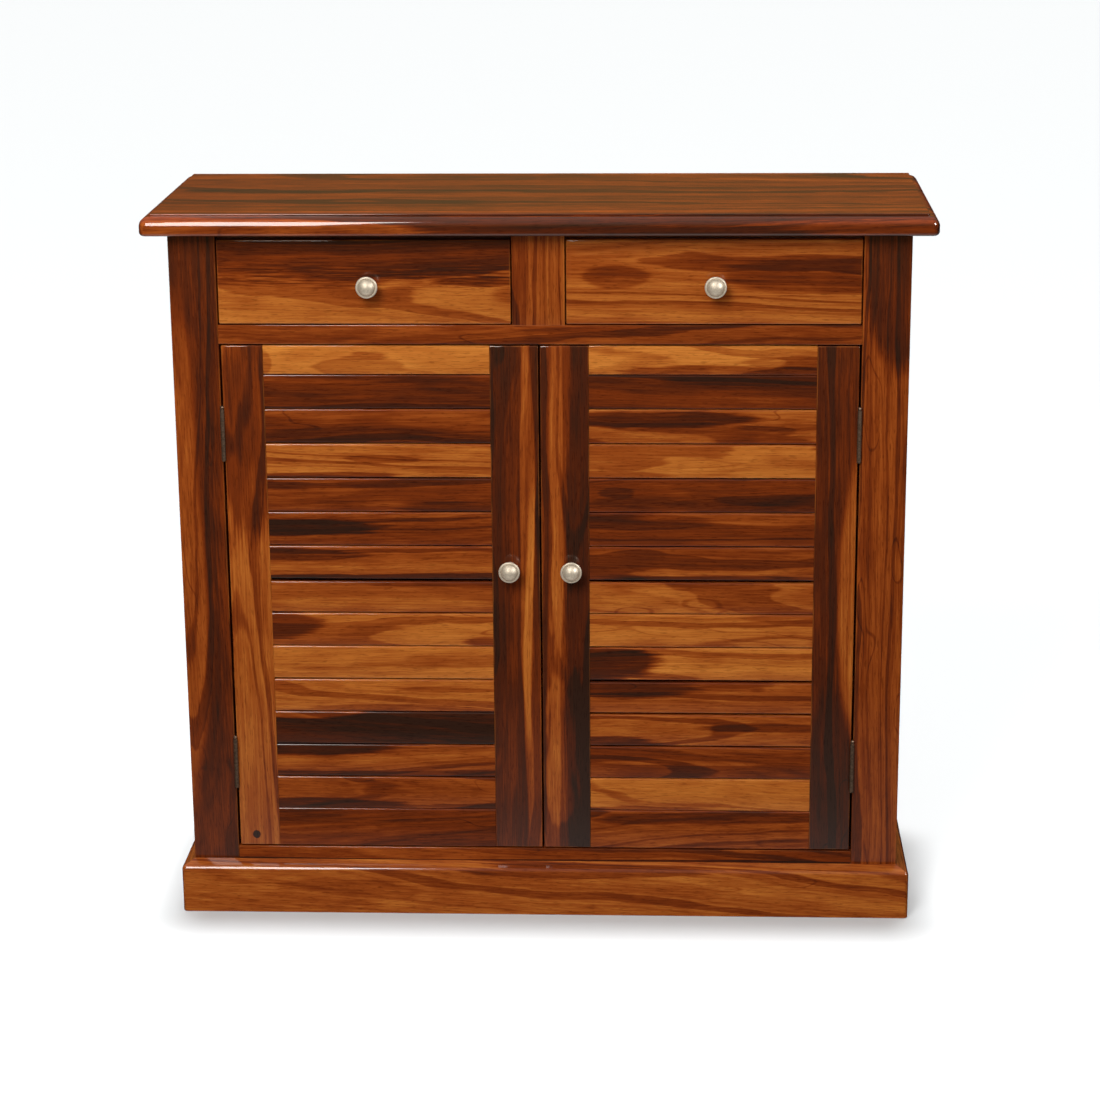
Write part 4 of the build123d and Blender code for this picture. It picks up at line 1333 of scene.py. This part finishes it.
class CABINET_OT_stage(bpy.types.Operator):
    """Set the floor, lights and camera"""

    bl_idname = "cabinet.stage"
    bl_label = "Studio"

    def execute(self, context):
        stage = settings()[2]
        context.scene.view_settings.view_transform = "Standard"
        self.floor(stage)
        self.sky(stage)
        top_low, top_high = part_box("top_panel")
        front = top_low.y
        nosing = (0.0, front, (top_low.z + top_high.z) / 2)
        left_half = (-0.35, front, 0.6)
        right_end = (0.45, front, 0.8)
        warm = (1.0, 0.97, 0.93)
        # Some lamps only light the cabinet, and the others only show as highlights in its lacquer.
        washes = [
            area_light("key_box", (-0.87, front - 2.6, 2.6), left_half, (1.05, 1.5), stage.key),
            area_light("front_box", (0.2, front - 3.2, 1.6), nosing, (2.6, 1.6), stage.front),
            self.over_light(stage),
        ]
        glints = [
            area_light("strip_box", (-1.12, front - 2.6, 2.6), left_half, (0.75, 2.6), stage.strip, warm),
            area_light("corner_box", (2.6, front - 1.6, 2.0), right_end, (0.8, 0.8), stage.spark),
        ]
        for lamp in washes:
            lamp.visible_glossy = False
        for lamp in glints:
            lamp.visible_diffuse = False
        self.camera(stage, top_low, top_high)
        return {"FINISHED"}

    def over_light(self, stage):
        """Parallel light from almost straight above, which leans a little towards the front."""
        lamp = bpy.data.objects.new("over_light", bpy.data.lights.new("over_light", "SUN"))
        lamp.data.energy = stage.over
        lamp.data.angle = math.radians(6)
        lamp.rotation_euler.x = math.radians(-2.8)
        bpy.context.scene.collection.objects.link(lamp)
        return lamp

    def floor(self, stage):
        bm = bmesh.new()
        bmesh.ops.create_grid(bm, x_segments=2, y_segments=2, size=60)
        floor = bpy.data.objects.new("studio_floor", mesh_from(bm, "studio_floor"))
        bpy.context.scene.collection.objects.link(floor)
        material, g = new_material("floor_paper")
        place = g.add("ShaderNodeTexCoord").outputs["Object"]
        tooth, _ = g.noise(place, (300, 300, 300), 2.0)
        shader = g.add("ShaderNodeBsdfPrincipled", {
            "Base Color": (*stage.floor_tint, 1), "Roughness": g.plus(0.85, tooth, 0.1),
            "Specular IOR Level": 0.1, "Emission Color": (1, 1, 1, 1), "Emission Strength": 0.05,
        })
        g.add("ShaderNodeOutputMaterial", {"Surface": shader.outputs[0]})
        floor.data.materials.append(material)
        floor.visible_glossy = False
        floor.visible_diffuse = False

    def sky(self, stage):
        """Soft light from above and below, dark towards the horizon, and plain white to the camera."""
        world = bpy.data.worlds.new("studio_sky")
        world.use_nodes = True
        world.node_tree.nodes.clear()
        g = Graph(world.node_tree)
        up = g.split(g.add("ShaderNodeTexCoord").outputs["Generated"])[Z]
        height = g.ramped(up, -1.0, 1.0, smooth=False)
        tint = g.colours(height, (
            (0.10, (1.10, 1.10, 1.10)), (0.22, (0.28, 0.26, 0.24)), (0.30, (0.035, 0.03, 0.03)),
            (0.42, (0.02, 0.02, 0.02)), (0.51, (0.02, 0.02, 0.02)), (0.58, (0.105, 0.106, 0.038)),
            (0.67, (0.13, 0.145, 0.055)), (0.76, (0.30, 0.30, 0.30)), (0.95, (0.50, 0.50, 0.50)),
        ))
        seen = g.add("ShaderNodeLightPath").outputs["Is Camera Ray"]
        tint = g.blend("MIX", seen, tint, (1.0, 1.0, 1.0))
        back = g.add("ShaderNodeBackground", {"Color": tint, "Strength": stage.sky})
        g.add("ShaderNodeOutputWorld", {"Surface": back.outputs[0]})
        bpy.context.scene.world = world

    def camera(self, stage, top_low, top_high):
        camera = bpy.data.cameras.new("studio_camera")
        camera.lens = stage.focal
        camera.sensor_width = 36.0
        camera.clip_end = 200.0
        viewer = bpy.data.objects.new("studio_camera", camera)
        aside, away, above = 0.15856, 3.29333, 0.51033
        yaw, pitch, roll = (math.radians(angle) for angle in (2.675, 15.993, 0.479))
        viewer.location = (aside, (top_low.y + top_high.y) / 2 - away, top_high.z + above)
        turn = Matrix.Rotation(math.pi / 2, 4, "X")
        for angle, axis in ((roll, "Y"), (-pitch, "X"), (yaw, "Z")):
            turn = Matrix.Rotation(angle, 4, axis) @ turn
        viewer.rotation_euler = turn.to_euler()
        bpy.context.scene.collection.objects.link(viewer)
        bpy.context.scene.camera = viewer


# ---------------------------------------------------------------- panel and registration

STEPS = (
    CABINET_OT_top, CABINET_OT_plinth, CABINET_OT_carcass, CABINET_OT_face_frame, CABINET_OT_drawers,
    CABINET_OT_doors, CABINET_OT_slats, CABINET_OT_knobs, CABINET_OT_hinges, CABINET_OT_screws,
    CABINET_OT_fittings, CABINET_OT_stage,
)


class CABINET_PT_panel(bpy.types.Panel):
    """Sizes, finishes and building steps of the shoe cabinet"""

    bl_label = "Shoe Cabinet"
    bl_idname = "CABINET_PT_panel"
    bl_space_type = "VIEW_3D"
    bl_region_type = "UI"
    bl_category = "Shoe Cabinet"

    def draw(self, context):
        for title, group in zip(("Sizes", "Finish", "Stage"), settings()):
            box = self.layout.box()
            box.label(text=title)
            for name in group.__annotations__:
                box.prop(group, name)
        column = self.layout.column(align=True)
        for step in STEPS:
            column.operator(step.bl_idname, text=step.bl_label)


GROUPS = {"cabinet_sizes": CabinetSizes, "cabinet_finish": CabinetFinish, "cabinet_stage": CabinetStage}


def register():
    for group in GROUPS.values():
        bpy.utils.register_class(group)
    for name, group in GROUPS.items():
        setattr(bpy.types.Scene, name, PointerProperty(type=group))
    for operator in STEPS:
        bpy.utils.register_class(operator)
    bpy.utils.register_class(CABINET_PT_panel)


def unregister():
    bpy.utils.unregister_class(CABINET_PT_panel)
    for operator in reversed(STEPS):
        bpy.utils.unregister_class(operator)
    for name, group in GROUPS.items():
        delattr(bpy.types.Scene, name)
        bpy.utils.unregister_class(group)


def main():
    register()
    for step in STEPS:
        family, name = step.bl_idname.split(".")
        getattr(getattr(bpy.ops, family), name)()


if __name__ == "__main__":
    main()
